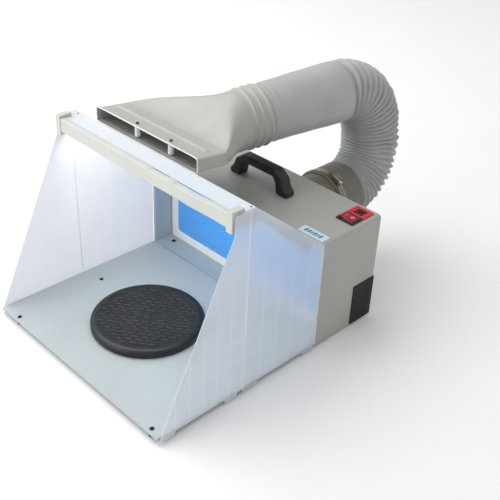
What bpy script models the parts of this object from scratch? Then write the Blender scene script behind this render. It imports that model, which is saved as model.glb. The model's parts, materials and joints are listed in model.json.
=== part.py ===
"""Portable airbrush spray booth: a steel fan cabinet with a filter, a fold-out work tray with a
turntable, two folding side wings, a hood with an LED bar, and a duct hose with a fishtail nozzle.

Design frame: X across (0 at the middle), Y from the user to the back (0 at the cabinet's front
rim), Z up (0 at the surface that the feet stand on). Metres.
"""

from math import cos, pi, radians, sin

import bmesh
import bpy
from mathutils import Euler, Matrix, Vector

# The whole object
CENTRE_Y = 0.0236  # the middle of the object's length, which the root empty puts at the origin
GAP = 0.0003  # clearance between touching pieces
SHEET = 0.0012  # sheet steel and wing plastic

# Cabinet
CAB_HALF = 0.2100
CAB_DEPTH = 0.1430
CAB_TOP = 0.2030
CAB_BOTTOM = 0.0030
CAB_BEND = 0.0060
LEDGE_Z = 0.0130
RECESS_DEPTH = 0.0400
RECESS_HALF = 0.2050
RECESS_TOP = 0.1950

# Air outlet on the rear panel
OUTLET_X = 0.0390
OUTLET_Z = 0.1410
SPIGOT_R = 0.0520
CUFF_R = 0.0560
CUFF_FRONT_Y = 0.1860
CUFF_REAR_Y = 0.2480
CLAMP_ANGLE = radians(62)  # the worm housing's place on the band, up from +X

# Tray and turntable
TRAY_HALF = 0.2090
TRAY_FRONT_Y = -0.3330
TRAY_REAR_Y = -0.0010
TRAY_TOP = 0.0130
TRAY_FLANGE = 0.0050
TRAY_AXIS = (0.0, -0.0008, 0.0133)
TAB_X = 0.1300  # the two tabs that hook the tray into the cabinet's front rim
TAB_HALF = 0.0300
TURNTABLE_XY = (-0.0120, -0.1730)
TURNTABLE_R = 0.0965

# Wings and hood
WING_X = 0.2110  # inner face
WING_AXIS_X = 0.2125
CREASE_Y = -0.1670
STRIP_Z = 0.3280
STRIP_BACK_Y = -0.1540
STRIP_FRONT_Y = -0.1860
HOOD_HALF = 0.2090
HOOD_AXIS = (0.0, -0.0010, 0.2040)
HOOD_FLANGE = 0.0250

# Nozzle, connector tube and hose
MOUTH_X = -0.0760
MOUTH_Y = -0.1200
MOUTH_Z = 0.3155
MOUTH_HALF = 0.1275
MOUTH_HALF_HEIGHT = 0.0130
NECK = Vector((-0.0390, 0.0420, 0.3120))
TUBE_DIRECTION = Vector((0.2140, 0.9730, 0.0740)).normalized()
NECK_R = 0.0520
NOZZLE_SIDES = 40
NECK_LENGTH = 0.0560
TUBE_END = 0.2130  # distance from the neck's first ring to the hose
TUBE_R = 0.0550
HOSE_R = 0.0540
HOSE_HANDLE = 0.1050  # how far the hose's route keeps each end's direction

PIVOTS = {}


# ---------------------------------------------------------------- helpers


def clear_scene():
    for old in list(bpy.data.objects):
        bpy.data.objects.remove(old, do_unlink=True)


def new_collection(name, hidden=False):
    made = bpy.data.collections.new(name)
    bpy.context.scene.collection.children.link(made)
    made.hide_render = hidden
    return made


def material(name, colour, roughness, metallic=0.0, alpha=1.0):
    made = bpy.data.materials.new(name)
    made.use_nodes = True
    shader = made.node_tree.nodes["Principled BSDF"]
    shader.inputs["Base Color"].default_value = (*colour, 1.0)
    shader.inputs["Roughness"].default_value = roughness
    shader.inputs["Metallic"].default_value = metallic
    shader.inputs["Alpha"].default_value = alpha
    return made


def pivot(name, position, parent=None):
    """An empty on a joint's axis, at a design-frame position."""
    made = bpy.data.objects.new(name, None)
    made.empty_display_size = 0.02
    PARTS.objects.link(made)
    PIVOTS[name] = Vector(position)
    made.parent = bpy.data.objects[parent or "booth_root"]
    made.location = PIVOTS[name] - PIVOTS[made.parent.name]
    return made


def place(obj, finish, parent="booth_root", at=(0, 0, 0), turn=(0, 0, 0)):
    """Puts an object into the collection under its parent, at a design-frame position."""
    PARTS.objects.link(obj)
    obj.parent = bpy.data.objects[parent]
    obj.location = Vector(at) - PIVOTS[parent]
    obj.rotation_euler = turn
    obj.data.materials.append(finish)
    return obj


def smooth(obj, angle=35):
    obj.data.shade_smooth()
    obj.data.set_sharp_from_angle(angle=radians(angle))
    return obj


def mesh_object(name, mesh_maker):
    mesh = bpy.data.meshes.new(name)
    editor = bmesh.new()
    mesh_maker(editor)
    editor.to_mesh(mesh)
    editor.free()
    return bpy.data.objects.new(name, mesh)


def box_mesh(name, low, high):
    size = Vector(high) - Vector(low)

    def maker(editor):
        bmesh.ops.create_cube(editor, size=1.0, matrix=Matrix.Diagonal((*size, 1.0)))

    return mesh_object(name, maker)


def rod_mesh(name, radius, length, sides):
    def maker(editor):
        bmesh.ops.create_cone(
            editor, cap_ends=True, segments=sides, radius1=radius, radius2=radius, depth=length
        )

    return mesh_object(name, maker)


def box(name, low, high, finish, parent="booth_root"):
    return place(box_mesh(name, low, high), finish, parent, (Vector(low) + Vector(high)) / 2)


def solidify(obj, thickness, offset):
    made = obj.modifiers.new("wall", "SOLIDIFY")
    made.thickness = thickness
    made.offset = offset
    made.use_even_offset = True


def cylinder(name, radius, length, finish, at):
    return smooth(place(rod_mesh(name, radius, length, 20), finish, at=at))


def turned(name, profile, finish, at, turn=(0, 0, 0), parent="booth_root", steps=32):
    """A profile of (radius, height) turned about its own Z. A profile that starts and ends on the
    axis stays open, any other is a closed ring. Its outer side runs from top to bottom."""
    closed = profile[0][0] > 0

    def maker(editor):
        corners = [editor.verts.new((radius, 0, height)) for radius, height in profile]
        for first, second in zip(corners, corners[1:]):
            editor.edges.new((first, second))
        if closed:
            editor.edges.new((corners[-1], corners[0]))

    made = mesh_object(name, maker)
    place(made, finish, parent, at, turn)
    screw = made.modifiers.new("turned", "SCREW")
    screw.steps = steps
    screw.render_steps = steps
    screw.use_merge_vertices = True
    screw.merge_threshold = 0.00001
    return made


def ring_profile(inner, outer, low, high):
    return [(outer, high), (outer, low), (inner, low), (inner, high)]


def flat_outline(name, outline, thickness, finish, at, turn, parent="booth_root", holes=()):
    """A flat piece with this outline and holes, thickness deep about its middle plane."""
    curve = bpy.data.curves.new(name, "CURVE")
    curve.dimensions = "2D"
    curve.fill_mode = "BOTH"
    curve.extrude = thickness / 2
    for loop in (outline, *holes):
        spline = curve.splines.new("POLY")
        spline.points.add(len(loop) - 1)
        for point, (across, up) in zip(spline.points, loop):
            point.co = (across, up, 0, 1)
        spline.use_cyclic_u = True
    return place(bpy.data.objects.new(name, curve), finish, parent, at, turn)


FACING_X = (pi / 2, 0, pi / 2)  # the outline's axes become Y and Z
FACING_Y = (pi / 2, 0, 0)  # the outline's axes become X and Z
ALONG_Y = (-pi / 2, 0, 0)  # a turned piece's Z becomes +Y


def circle(radius, sides=24, centre=(0, 0)):
    steps = [2 * pi * index / sides for index in range(sides)]
    return [(centre[0] + radius * cos(a), centre[1] + radius * sin(a)) for a in steps]


def rectangle(low, high):
    return [low, (high[0], low[1]), high, (low[0], high[1])]


def clipped_rectangle(half, low, high):
    """A rectangle whose two upper corners are cut to clear the cabinet's bends."""
    clip = CAB_BEND - 0.0010
    return [
        (-half, low),
        (half, low),
        (half, high - clip),
        (half - clip, high),
        (-half + clip, high),
        (-half, high - clip),
    ]


def rounded_rectangle(half_width, half_height, radius, per_corner=4, centre=(0, 0)):
    points = []
    for corner, (side_x, side_z) in enumerate(((1, 1), (-1, 1), (-1, -1), (1, -1))):
        for index in range(per_corner + 1):
            angle = pi / 2 * (corner + index / per_corner)
            across = side_x * (half_width - radius) + radius * cos(angle)
            up = side_z * (half_height - radius) + radius * sin(angle)
            points.append((centre[0] + across, centre[1] + up))
    return points


def cut(obj, tool, operation="DIFFERENCE"):
    made = obj.modifiers.new(tool.name, "BOOLEAN")
    made.operation = operation
    made.solver = "EXACT"
    made.object = tool


def join(obj, tool):
    cut(obj, tool, "UNION")


def helper(obj, at, turn=(0, 0, 0)):
    """A cutter or an addition: it shapes other pieces and isn't a piece itself."""
    CUTTERS.objects.link(obj)
    obj.parent = bpy.data.objects["booth_root"]
    obj.location = at
    obj.rotation_euler = turn
    obj.hide_render = True
    obj.display_type = "WIRE"
    return obj


def box_cutter(name, low, high):
    return helper(box_mesh(name, low, high), (Vector(low) + Vector(high)) / 2)


def round_cutter(name, radius, length, at):
    return helper(rod_mesh(name, radius, length, 14), at)


def loft(name, rings, finish, parent="booth_root"):
    """A hollow shell through rings of equal point counts, each ring an (outer, inner) pair."""

    def maker(editor):
        outer = [[editor.verts.new(p) for p in ring[0]] for ring in rings]
        inner = [[editor.verts.new(p) for p in ring[1]] for ring in rings]
        count = len(outer[0])
        for near, far in zip(outer, outer[1:]):
            for index in range(count):
                following = (index + 1) % count
                editor.faces.new((near[index], near[following], far[following], far[index]))
        for near, far in zip(inner, inner[1:]):
            for index in range(count):
                following = (index + 1) % count
                editor.faces.new((near[index], far[index], far[following], near[following]))
        for outside, inside in ((outer[0], inner[0]), (inner[-1], outer[-1])):
            for index in range(count):
                following = (index + 1) % count
                editor.faces.new(
                    (outside[index], inside[index], inside[following], outside[following])
                )
        bmesh.ops.recalc_face_normals(editor, faces=editor.faces)

    return smooth(place(mesh_object(name, maker), finish, parent))


# ---------------------------------------------------------------- cabinet


def cabinet_shell():
    """The wrap of sheet steel over the sides and the top, with its two long edges bent round."""
    profile = [(-CAB_HALF, CAB_BOTTOM)]
    for side, start in ((-1, pi), (1, pi / 2)):
        for index in range(5):
            angle = start - pi / 2 * index / 4
            across = side * (CAB_HALF - CAB_BEND) + CAB_BEND * cos(angle)
            profile.append((across, CAB_TOP - CAB_BEND + CAB_BEND * sin(angle)))
    profile.append((CAB_HALF, CAB_BOTTOM))

    def maker(editor):
        front = [editor.verts.new((x, 0.0, z)) for x, z in profile]
        rear = [editor.verts.new((x, CAB_DEPTH, z)) for x, z in profile]
        for index in range(len(profile) - 1):
            editor.faces.new((front[index], front[index + 1], rear[index + 1], rear[index]))

    shell = smooth(place(mesh_object("cabinet_shell", maker), FINISH["steel"]))
    solidify(shell, SHEET, -1)
    return shell


def front_bezel():
    """The front rim and the walls of the recess that the filter stands in."""
    inside = SHEET + GAP
    stations = (
        (CAB_HALF - inside, CAB_BOTTOM + inside, CAB_TOP - inside, 0.0004),
        (RECESS_HALF, LEDGE_Z, RECESS_TOP, 0.0004),
        (RECESS_HALF, LEDGE_Z, RECESS_TOP, RECESS_DEPTH + 0.0125),
        (RECESS_HALF - 0.0140, LEDGE_Z + 0.0120, RECESS_TOP - 0.0120, RECESS_DEPTH + 0.0125),
    )

    def maker(editor):
        rings = []
        for half, low, high, depth in stations:
            corners = clipped_rectangle(half, low, high)
            rings.append([editor.verts.new((x, depth, z)) for x, z in corners])
        for near, far in zip(rings, rings[1:]):
            for index in range(len(near)):
                following = (index + 1) % len(near)
                editor.faces.new((near[index], near[following], far[following], far[index]))

    bezel = place(mesh_object("front_bezel", maker), FINISH["reveal"])
    solidify(bezel, 0.0010, -1)
    half_slot = TAB_HALF + 0.0030
    for side in (-1, 1):
        slot = box_cutter(
            f"tab_slot_{side}",
            (side * TAB_X - half_slot, -0.0050, CAB_BOTTOM - 0.0010),
            (side * TAB_X + half_slot, 0.0060, 0.0115),
        )
        cut(bezel, slot)


def rear_panel():
    inside = SHEET + GAP
    outline = clipped_rectangle(CAB_HALF - inside, CAB_BOTTOM + inside, CAB_TOP - inside)
    flat_outline(
        "rear_panel",
        outline,
        SHEET,
        FINISH["steel"],
        (0, CAB_DEPTH - SHEET / 2, 0),
        FACING_Y,
        holes=[circle(SPIGOT_R - 0.0040, 28, (OUTLET_X, OUTLET_Z))],
    )


def base_pan():
    box(
        "base_pan",
        (-CAB_HALF + SHEET + GAP, 0.0010, CAB_BOTTOM),
        (CAB_HALF - SHEET - GAP, CAB_DEPTH, CAB_BOTTOM + SHEET),
        FINISH["steel"],
    )


def cabinet_feet():
    height = CAB_BOTTOM - GAP
    for side, x in (("left", -0.1850), ("right", 0.1850)):
        for end, y in (("front", 0.0160), ("rear", 0.1270)):
            name = f"cabinet_foot_{side}_{end}"
            cylinder(name, 0.0090, height, FINISH["rubber"], (x, y, height / 2))


def ledge_studs():
    """Push-in plugs on the floor of the recess."""
    for side in (-1, 1):
        profile = [(0, 0.0022), (0.0030, 0.0018), (0.0042, 0), (0, 0)]
        name = f"ledge_stud_{'left' if side < 0 else 'right'}"
        at = (side * 0.1830, 0.0270, LEDGE_Z + GAP)
        turned(name, profile, FINISH["rubber"], at, steps=14)


def carry_handle():
    """A bridge handle with sloped shoulders and wide feet, and the two screws that hold it."""
    middle_x = 0.0030
    outline = [
        (-0.0690, 0.2033),
        (-0.0690, 0.2110),
        (-0.0610, 0.2200),
        (-0.0560, 0.2340),
        (-0.0400, 0.2460),
        (0.0400, 0.2460),
        (0.0560, 0.2340),
        (0.0610, 0.2200),
        (0.0690, 0.2110),
        (0.0690, 0.2033),
        (0.0440, 0.2033),
        (0.0400, 0.2240),
        (0.0340, 0.2320),
        (-0.0340, 0.2320),
        (-0.0400, 0.2240),
        (-0.0440, 0.2033),
    ]
    flat_outline(
        "carry_handle",
        outline,
        0.0220,
        FINISH["black_plastic"],
        (middle_x, 0.0700, 0),
        FACING_Y,
    )
    for side in (-1, 1):
        name = f"handle_screw_{'left' if side < 0 else 'right'}"
        at = (middle_x + side * 0.0560, 0.0700, CAB_TOP - SHEET - GAP)
        profile = [(0, 0), (0.0036, 0), (0.0045, -0.0010), (0.0036, -0.0024), (0, -0.0024)]
        turned(name, profile, FINISH["zinc"], at, steps=14)


def top_switches():
    """The rocker switch's frame and the DC inlet, side by side in the cabinet's top."""
    top = CAB_TOP + GAP
    rim = 0.0026
    left, right = 0.1660, 0.2010
    flat_outline(
        "rocker_bezel",
        rectangle((left, 0.0780), (right, 0.1050)),
        rim,
        FINISH["black_plastic"],
        (0, 0, top + rim / 2),
        (0, 0, 0),
        holes=[rectangle((0.1690, 0.0815), (0.1975, 0.1015))],
    )
    flat_outline(
        "socket_bezel",
        rectangle((left, 0.1060), (right, 0.1340)),
        rim,
        FINISH["red_plastic"],
        (0, 0, top + rim / 2),
        (0, 0, 0),
        holes=[rectangle((0.1745, 0.1115), (0.1925, 0.1285))],
    )
    at = ((left + right) / 2, 0.1200, top)
    core = [
        (0, -0.0080),
        (0.0032, -0.0080),
        (0.0032, 0.0010),
        (0.0078, 0.0010),
        (0.0078, -0.0120),
        (0, -0.0120),
    ]
    turned("socket_core", core, FINISH["black_plastic"], at, steps=16)
    pin = [(0, 0.0002), (0.0008, -0.0002), (0.0008, -0.0077), (0, -0.0077)]
    turned("socket_pin", pin, FINISH["zinc"], at, steps=10)


def rocker():
    """The red key, tilted to its off position, on its pivot across the switch."""
    half = 0.0132
    tilt = radians(-8)
    outline = [
        (-half, 0.0010),
        (-half, 0.0042),
        (0, 0.0026),
        (half, 0.0042),
        (half, 0.0010),
        (0.0030, -0.0055),
        (-0.0030, -0.0055),
    ]
    turned_outline = [
        (x * cos(tilt) - z * sin(tilt), x * sin(tilt) + z * cos(tilt)) for x, z in outline
    ]
    flat_outline(
        "rocker_key",
        turned_outline,
        0.0192,
        FINISH["red_plastic"],
        PIVOTS["rocker_pivot"],
        FACING_Y,
        "rocker_pivot",
    )


def switch_wells(shell):
    """The two openings in the cabinet's top that the switch and the inlet drop into."""
    cut(shell, box_cutter("rocker_well", (0.1682, 0.0800, 0.1950), (0.1988, 0.1030, 0.2100)))
    cut(shell, box_cutter("socket_well", (0.1740, 0.1105, 0.1950), (0.1930, 0.1295, 0.2100)))


def corner_cover():
    """The black cover round the lower rear corner, and the bumper that stands out of it."""
    outline = rectangle((0.0905, 0.0040), (CAB_DEPTH + 0.0012, 0.0830))
    at = (CAB_HALF + GAP + 0.0007, 0, 0)
    flat_outline("corner_cover", outline, 0.0014, FINISH["black_plastic"], at, FACING_X)
    at = (CAB_HALF - 0.0040, CAB_DEPTH + 0.0003, 0.0430)
    profile = [(0, 0.0050), (0.0030, 0.0042), (0.0038, 0), (0, 0)]
    turned("cover_bumper", profile, FINISH["rubber"], at, ALONG_Y, steps=14)


def nameplate():
    low = (0.1500, 0.0040, CAB_TOP + 0.0002)
    box("nameplate", low, (0.2020, 0.0240, CAB_TOP + 0.0007), FINISH["label"])


# ---------------------------------------------------------------- filter and fan


def filter_cartridge():
    half = 0.2035
    low = LEDGE_Z + GAP
    height = 0.1770
    middle = (0, RECESS_DEPTH + 0.0055, low + height / 2)
    border = 0.0160
    inner = (half - border, height / 2 - border)
    flat_outline(
        "filter_frame",
        rounded_rectangle(half, height / 2, 0.0040, 2),
        0.0110,
        FINISH["white_plastic"],
        middle,
        FACING_Y,
        "filter_pivot",
        holes=[rounded_rectangle(*inner, 0.0080)],
    )
    flat_outline(
        "filter_pad",
        rounded_rectangle(inner[0] - GAP, inner[1] - GAP, 0.0076),
        0.0080,
        FINISH["filter"],
        middle,
        FACING_Y,
        "filter_pivot",
    )


def filter_guard():
    """A grille behind the filter that keeps it off the fan."""
    half = 0.1880
    low = 0.0280
    high = 0.1800
    columns = 7
    rows = 3
    bar = 0.0040
    pitch_x = (2 * half - bar) / columns
    pitch_z = (high - low - bar) / rows
    holes = []
    for column in range(columns):
        for row in range(rows):
            corner = (-half + bar + column * pitch_x, low + bar + row * pitch_z)
            holes.append(rectangle(corner, (corner[0] + pitch_x - bar, corner[1] + pitch_z - bar)))
    flat_outline(
        "filter_guard",
        rectangle((-half, low), (half, high)),
        0.0015,
        FINISH["zinc"],
        (0, 0.0560, 0),
        FACING_Y,
        holes=holes,
    )


def fan():
    shroud = [
        (0.0580, 0.0330),
        (0.0580, 0.0300),
        (0.0520, 0.0300),
        (0.0520, 0),
        (0.0495, 0),
        (0.0495, 0.0330),
    ]
    front = CAB_DEPTH - SHEET - GAP - 0.0330
    turned("fan_shroud", shroud, FINISH["black_plastic"], (OUTLET_X, front, OUTLET_Z), ALONG_Y)
    motor = [
        (0.0034, 0.0280),
        (0.0200, 0.0280),
        (0.0230, 0.0250),
        (0.0230, 0.0020),
        (0.0210, 0),
        (0.0034, 0),
    ]
    turned("fan_motor", motor, FINISH["zinc"], (OUTLET_X, 0.0800, OUTLET_Z), ALONG_Y, steps=24)
    shaft = [(0, 0.0400), (0.0030, 0.0400), (0.0030, 0), (0, 0)]
    turned(
        "fan_shaft",
        shaft,
        FINISH["zinc"],
        (OUTLET_X, 0.0830, OUTLET_Z),
        ALONG_Y,
        "fan_pivot",
        steps=12,
    )
    motor_bracket()
    impeller()


def motor_bracket():
    """A flat spider: a collar round the motor and three arms out to the shroud's front edge."""
    arms = 3
    collar_r = 0.0300
    reach = 0.0520
    half_arm = 0.0050
    outline = []
    for arm in range(arms):
        direction = pi / 2 + 2 * pi * arm / arms
        spread = half_arm / collar_r
        along = Vector((cos(direction), sin(direction)))
        across = Vector((-along.y, along.x))
        for edge in (-half_arm, half_arm):
            outline.append(tuple(along * reach + across * edge))
        for index in range(6):
            angle = direction + spread + (2 * pi / arms - 2 * spread) * index / 5
            outline.append((collar_r * cos(angle), collar_r * sin(angle)))
    flat_outline(
        "motor_bracket",
        outline,
        0.0020,
        FINISH["steel"],
        (OUTLET_X, 0.1072, OUTLET_Z),
        FACING_Y,
        holes=[circle(0.0233, 24)],
    )


def impeller():
    """A hub with seven twisted blades, made as one piece."""
    hub_r = 0.0180
    tip_r = 0.0475
    blades = 7
    length = 0.0160
    hub = [(0.0032, length), (hub_r, length), (hub_r, 0), (0.0032, 0)]
    at = (OUTLET_X, 0.1095, OUTLET_Z)
    made = turned("fan_impeller", hub, FINISH["grey_plastic"], at, ALONG_Y, "fan_pivot", steps=28)

    def maker(editor):
        for blade in range(blades):
            spin = Matrix.Rotation(2 * pi * blade / blades, 4, "Z")
            middle = Matrix.Translation(((hub_r + tip_r) / 2 - 0.0010, 0, length / 2))
            size = Matrix.Diagonal((tip_r - hub_r + 0.0020, 0.0016, 0.0170, 1))
            pitch = Matrix.Rotation(radians(48), 4, "X")
            bmesh.ops.create_cube(editor, size=1.0, matrix=spin @ middle @ pitch @ size)

    join(made, helper(mesh_object("impeller_blades", maker), at, ALONG_Y))


def control_board():
    """The speed and power board under the switches."""
    at_low = (0.1560, 0.0720, 0.1560)
    box("control_board", at_low, (0.2040, 0.1380, 0.1576), FINISH["board"])


# ---------------------------------------------------------------- outlet, clamp and hose


def outlet():
    flange = [
        (SPIGOT_R, 0.0600),
        (SPIGOT_R, 0.0020),
        (SPIGOT_R + 0.0060, 0.0020),
        (SPIGOT_R + 0.0060, 0),
        (SPIGOT_R - 0.0020, 0),
        (SPIGOT_R - 0.0020, 0.0600),
    ]
    at = (OUTLET_X, CAB_DEPTH + GAP, OUTLET_Z)
    turned("outlet_spigot", flange, FINISH["dark_plastic"], at, ALONG_Y, steps=36)
    length = CUFF_REAR_Y - CUFF_FRONT_Y
    cuff = [
        (CUFF_R, length),
        (CUFF_R, 0.0010),
        (CUFF_R - 0.0010, 0),
        (SPIGOT_R + GAP, 0),
        (SPIGOT_R + GAP, length),
    ]
    at = (OUTLET_X, CUFF_FRONT_Y, OUTLET_Z)
    turned("hose_cuff", cuff, FINISH["dark_plastic"], at, ALONG_Y, steps=36)
    band = ring_profile(CUFF_R + GAP, CUFF_R + 0.0012, 0, 0.0110)
    at = (OUTLET_X, CUFF_FRONT_Y + 0.0040, OUTLET_Z)
    turned("hose_clamp_band", band, FINISH["brass"], at, ALONG_Y, steps=36)


def clamp_screw():
    """The worm housing on the band, hollow along its length, with the screw in it."""
    lean = pi / 2 - CLAMP_ANGLE
    across_band = (Matrix.Rotation(lean, 3, "Y") @ Euler(FACING_X).to_matrix()).to_euler()
    outline = rectangle((-0.0065, -0.0046), (0.0065, 0.0046))
    flat_outline(
        "clamp_housing",
        outline,
        0.0140,
        FINISH["brass"],
        PIVOTS["clamp_pivot"],
        across_band,
        holes=[circle(0.0034, 14)],
    )
    worm = [
        (0, 0.0140),
        (0.0040, 0.0140),
        (0.0040, 0.0080),
        (0.0030, 0.0078),
        (0.0030, -0.0080),
        (0, -0.0080),
    ]
    turned(
        "clamp_screw",
        worm,
        FINISH["zinc"],
        PIVOTS["clamp_pivot"],
        (0, pi / 2 + lean, 0),
        "clamp_pivot",
        steps=12,
    )


def hose_route():
    """Points along the hose: a smooth curve that leaves each end in line with its pipe."""
    start = Vector((OUTLET_X, CUFF_REAR_Y + GAP, OUTLET_Z))
    finish = NECK + TUBE_DIRECTION * (TUBE_END + GAP)
    first = start + Vector((0, 1, 0.03)).normalized() * HOSE_HANDLE
    second = finish + TUBE_DIRECTION * HOSE_HANDLE
    count = 14
    points = []
    for index in range(count + 1):
        t = index / count
        point = start * (1 - t) ** 3
        point += first * 3 * t * (1 - t) ** 2
        point += second * 3 * t * t * (1 - t)
        point += finish * t**3
        points.append(point)
    return points


def round_ring(centre, along, radius, sides=20):
    """Points of a circle across a direction, starting at the side nearest +X."""
    across = Vector((along.y, -along.x, 0)).normalized()
    up = across.cross(along)
    steps = [2 * pi * index / sides for index in range(sides)]
    return [centre + (across * cos(a) + up * sin(a)) * radius for a in steps]


def duct_hose():
    """The hose's outer shape, an open pipe bent back over the cabinet."""
    points = hose_route()
    start = Vector((0, 1, 0.0))
    end = -TUBE_DIRECTION
    directions = [start]
    for before, after in zip(points, points[2:]):
        directions.append((after - before).normalized())
    directions.append(end)
    side = Vector((1, 0, 0))
    rings = []
    for centre, along in zip(points, directions):
        across = (side - along * side.dot(along)).normalized()
        side = across
        up = across.cross(along)
        pair = []
        for radius in (HOSE_R, HOSE_R - 0.0020):
            steps = [2 * pi * index / 20 for index in range(20)]
            pair.append([centre + (across * cos(a) + up * sin(a)) * radius for a in steps])
        rings.append(pair)
    loft("duct_hose", rings, FINISH["hose"])


def connector_tube():
    rings = []
    start = NECK_LENGTH + GAP
    for distance, radius in (
        (start, NECK_R + 0.0010),
        (TUBE_END - 0.0200, TUBE_R),
        (TUBE_END, TUBE_R - 0.0010),
    ):
        centre = NECK + TUBE_DIRECTION * distance
        outer = round_ring(centre, TUBE_DIRECTION, radius, 28)
        inner = round_ring(centre, TUBE_DIRECTION, radius - 0.0022, 28)
        rings.append((outer, inner))
    loft("connector_tube", rings, FINISH["hose"])


# ---------------------------------------------------------------- nozzle


def ease(t):
    return t * t * (3 - 2 * t)


def nozzle_section(centre, axis_side, half_width, half_height, roundness):
    """One cross-section: a rounded oblong that becomes a circle as roundness goes to 1."""
    points = []
    for index in range(NOZZLE_SIDES):
        angle = 2 * pi * index / NOZZLE_SIDES
        power = 0.28 + 0.72 * roundness
        c, s = cos(angle), sin(angle)
        across = half_width * (abs(c) ** power) * (1 if c >= 0 else -1)
        up = half_height * (abs(s) ** power) * (1 if s >= 0 else -1)
        points.append(centre + axis_side * across + Vector((0, 0, 1)) * up)
    return points


def nozzle_stations():
    """(centre, side direction, half width, half height, roundness) from the mouth to the neck."""
    flat_y = -0.0620
    stations = []
    for y, grow in ((MOUTH_Y, 0.0012), (MOUTH_Y + 0.0050, 0.0012), (MOUTH_Y + 0.0052, 0.0)):
        centre = Vector((MOUTH_X, y, MOUTH_Z))
        stations.append((centre, Vector((1, 0, 0)), MOUTH_HALF, MOUTH_HALF_HEIGHT + grow, 0.0))
    flat_end = Vector((MOUTH_X, flat_y, MOUTH_Z - 0.0070))
    stations.append((flat_end, Vector((1, 0, 0)), MOUTH_HALF, MOUTH_HALF_HEIGHT, 0.0))
    count = 10
    for index in range(1, count + 1):
        t = index / count
        centre = flat_end.lerp(NECK, t)
        centre.x = MOUTH_X + (NECK.x - MOUTH_X) * ease(t)
        narrowing = ease(t) ** 0.8
        half_width = MOUTH_HALF + (NECK_R - MOUTH_HALF) * narrowing
        half_height = MOUTH_HALF_HEIGHT + (NECK_R - MOUTH_HALF_HEIGHT) * ease(t)
        side = Vector((1, 0, 0)).lerp(Vector((TUBE_DIRECTION.y, -TUBE_DIRECTION.x, 0)), t)
        stations.append((centre, side.normalized(), half_width, half_height, min(1.0, t * 1.4)))
    return stations


def fishtail_nozzle():
    wall = 0.0020
    rings = []
    for centre, side, half_width, half_height, roundness in nozzle_stations():
        outer = nozzle_section(centre, side, half_width, half_height, roundness)
        inner = nozzle_section(centre, side, half_width - wall, half_height - wall, roundness)
        rings.append((outer, inner))
    for distance in (0.0100, NECK_LENGTH):
        centre = NECK + TUBE_DIRECTION * distance
        outer = round_ring(centre, TUBE_DIRECTION, NECK_R, NOZZLE_SIDES)
        inner = round_ring(centre, TUBE_DIRECTION, NECK_R - wall, NOZZLE_SIDES)
        rings.append((outer, inner))
    loft("fishtail_nozzle", rings, FINISH["nozzle"])


def nozzle_posts():
    """Two spacer posts that hold the mouth open."""
    half_gap = MOUTH_HALF_HEIGHT - 0.0020 - GAP
    for name, x in (("left", -0.1080), ("right", -0.0240)):
        at = (x, MOUTH_Y + 0.0110, MOUTH_Z - 0.0006)
        profile = [
            (0, half_gap - 0.0012),
            (0.0048, half_gap - 0.0012),
            (0.0052, -half_gap + 0.0012),
            (0, -half_gap + 0.0012),
        ]
        turned(f"mouth_post_{name}", profile, FINISH["white_plastic"], at, steps=14)


# ---------------------------------------------------------------- tray and turntable


def tray():
    """A shallow pan, open below, with two tabs that hook into the cabinet's front rim."""
    low = TRAY_TOP - TRAY_FLANGE
    body = box(
        "tray",
        (-TRAY_HALF, TRAY_FRONT_Y, low),
        (TRAY_HALF, TRAY_REAR_Y, TRAY_TOP),
        FINISH["tray"],
        "tray_pivot",
    )
    hollow = box_cutter(
        "tray_hollow",
        (-TRAY_HALF + SHEET, TRAY_FRONT_Y + SHEET, low - 0.0050),
        (TRAY_HALF - SHEET, TRAY_REAR_Y - SHEET, TRAY_TOP - SHEET),
    )
    cut(body, hollow)
    for side in (-1, 1):
        tab = box_cutter(
            f"tray_tab_{side}",
            (side * TAB_X - TAB_HALF, TRAY_REAR_Y - 0.0006, low),
            (side * TAB_X + TAB_HALF, 0.0050, low + SHEET),
        )
        join(body, tab)
    for name, x, y in TRAY_STUDS:
        cut(body, round_cutter(f"{name}_hole", 0.0025, 0.0300, (x, y, TRAY_TOP)))


TRAY_STUDS = (
    ("tray_foot_front_left", -0.1665, -0.3255),
    ("tray_foot_front_right", 0.1880, -0.3255),
    ("tray_foot_side_left", -0.1680, -0.1562),
    ("tray_foot_side_right", 0.1740, -0.1562),
)


def tray_feet():
    """Rubber feet pushed up through the tray, each with a small domed head on top."""
    low = TRAY_TOP - SHEET - GAP
    profile = [
        (0, TRAY_TOP + 0.0024),
        (0.0026, TRAY_TOP + 0.0018),
        (0.0038, TRAY_TOP + GAP),
        (0.0022, TRAY_TOP + GAP),
        (0.0022, low),
        (0.0045, low),
        (0.0052, 0.0010),
        (0.0045, 0),
        (0, 0),
    ]
    for name, x, y in TRAY_STUDS:
        turned(name, profile, FINISH["rubber"], (x, y, 0), parent="tray_pivot", steps=14)


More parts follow.
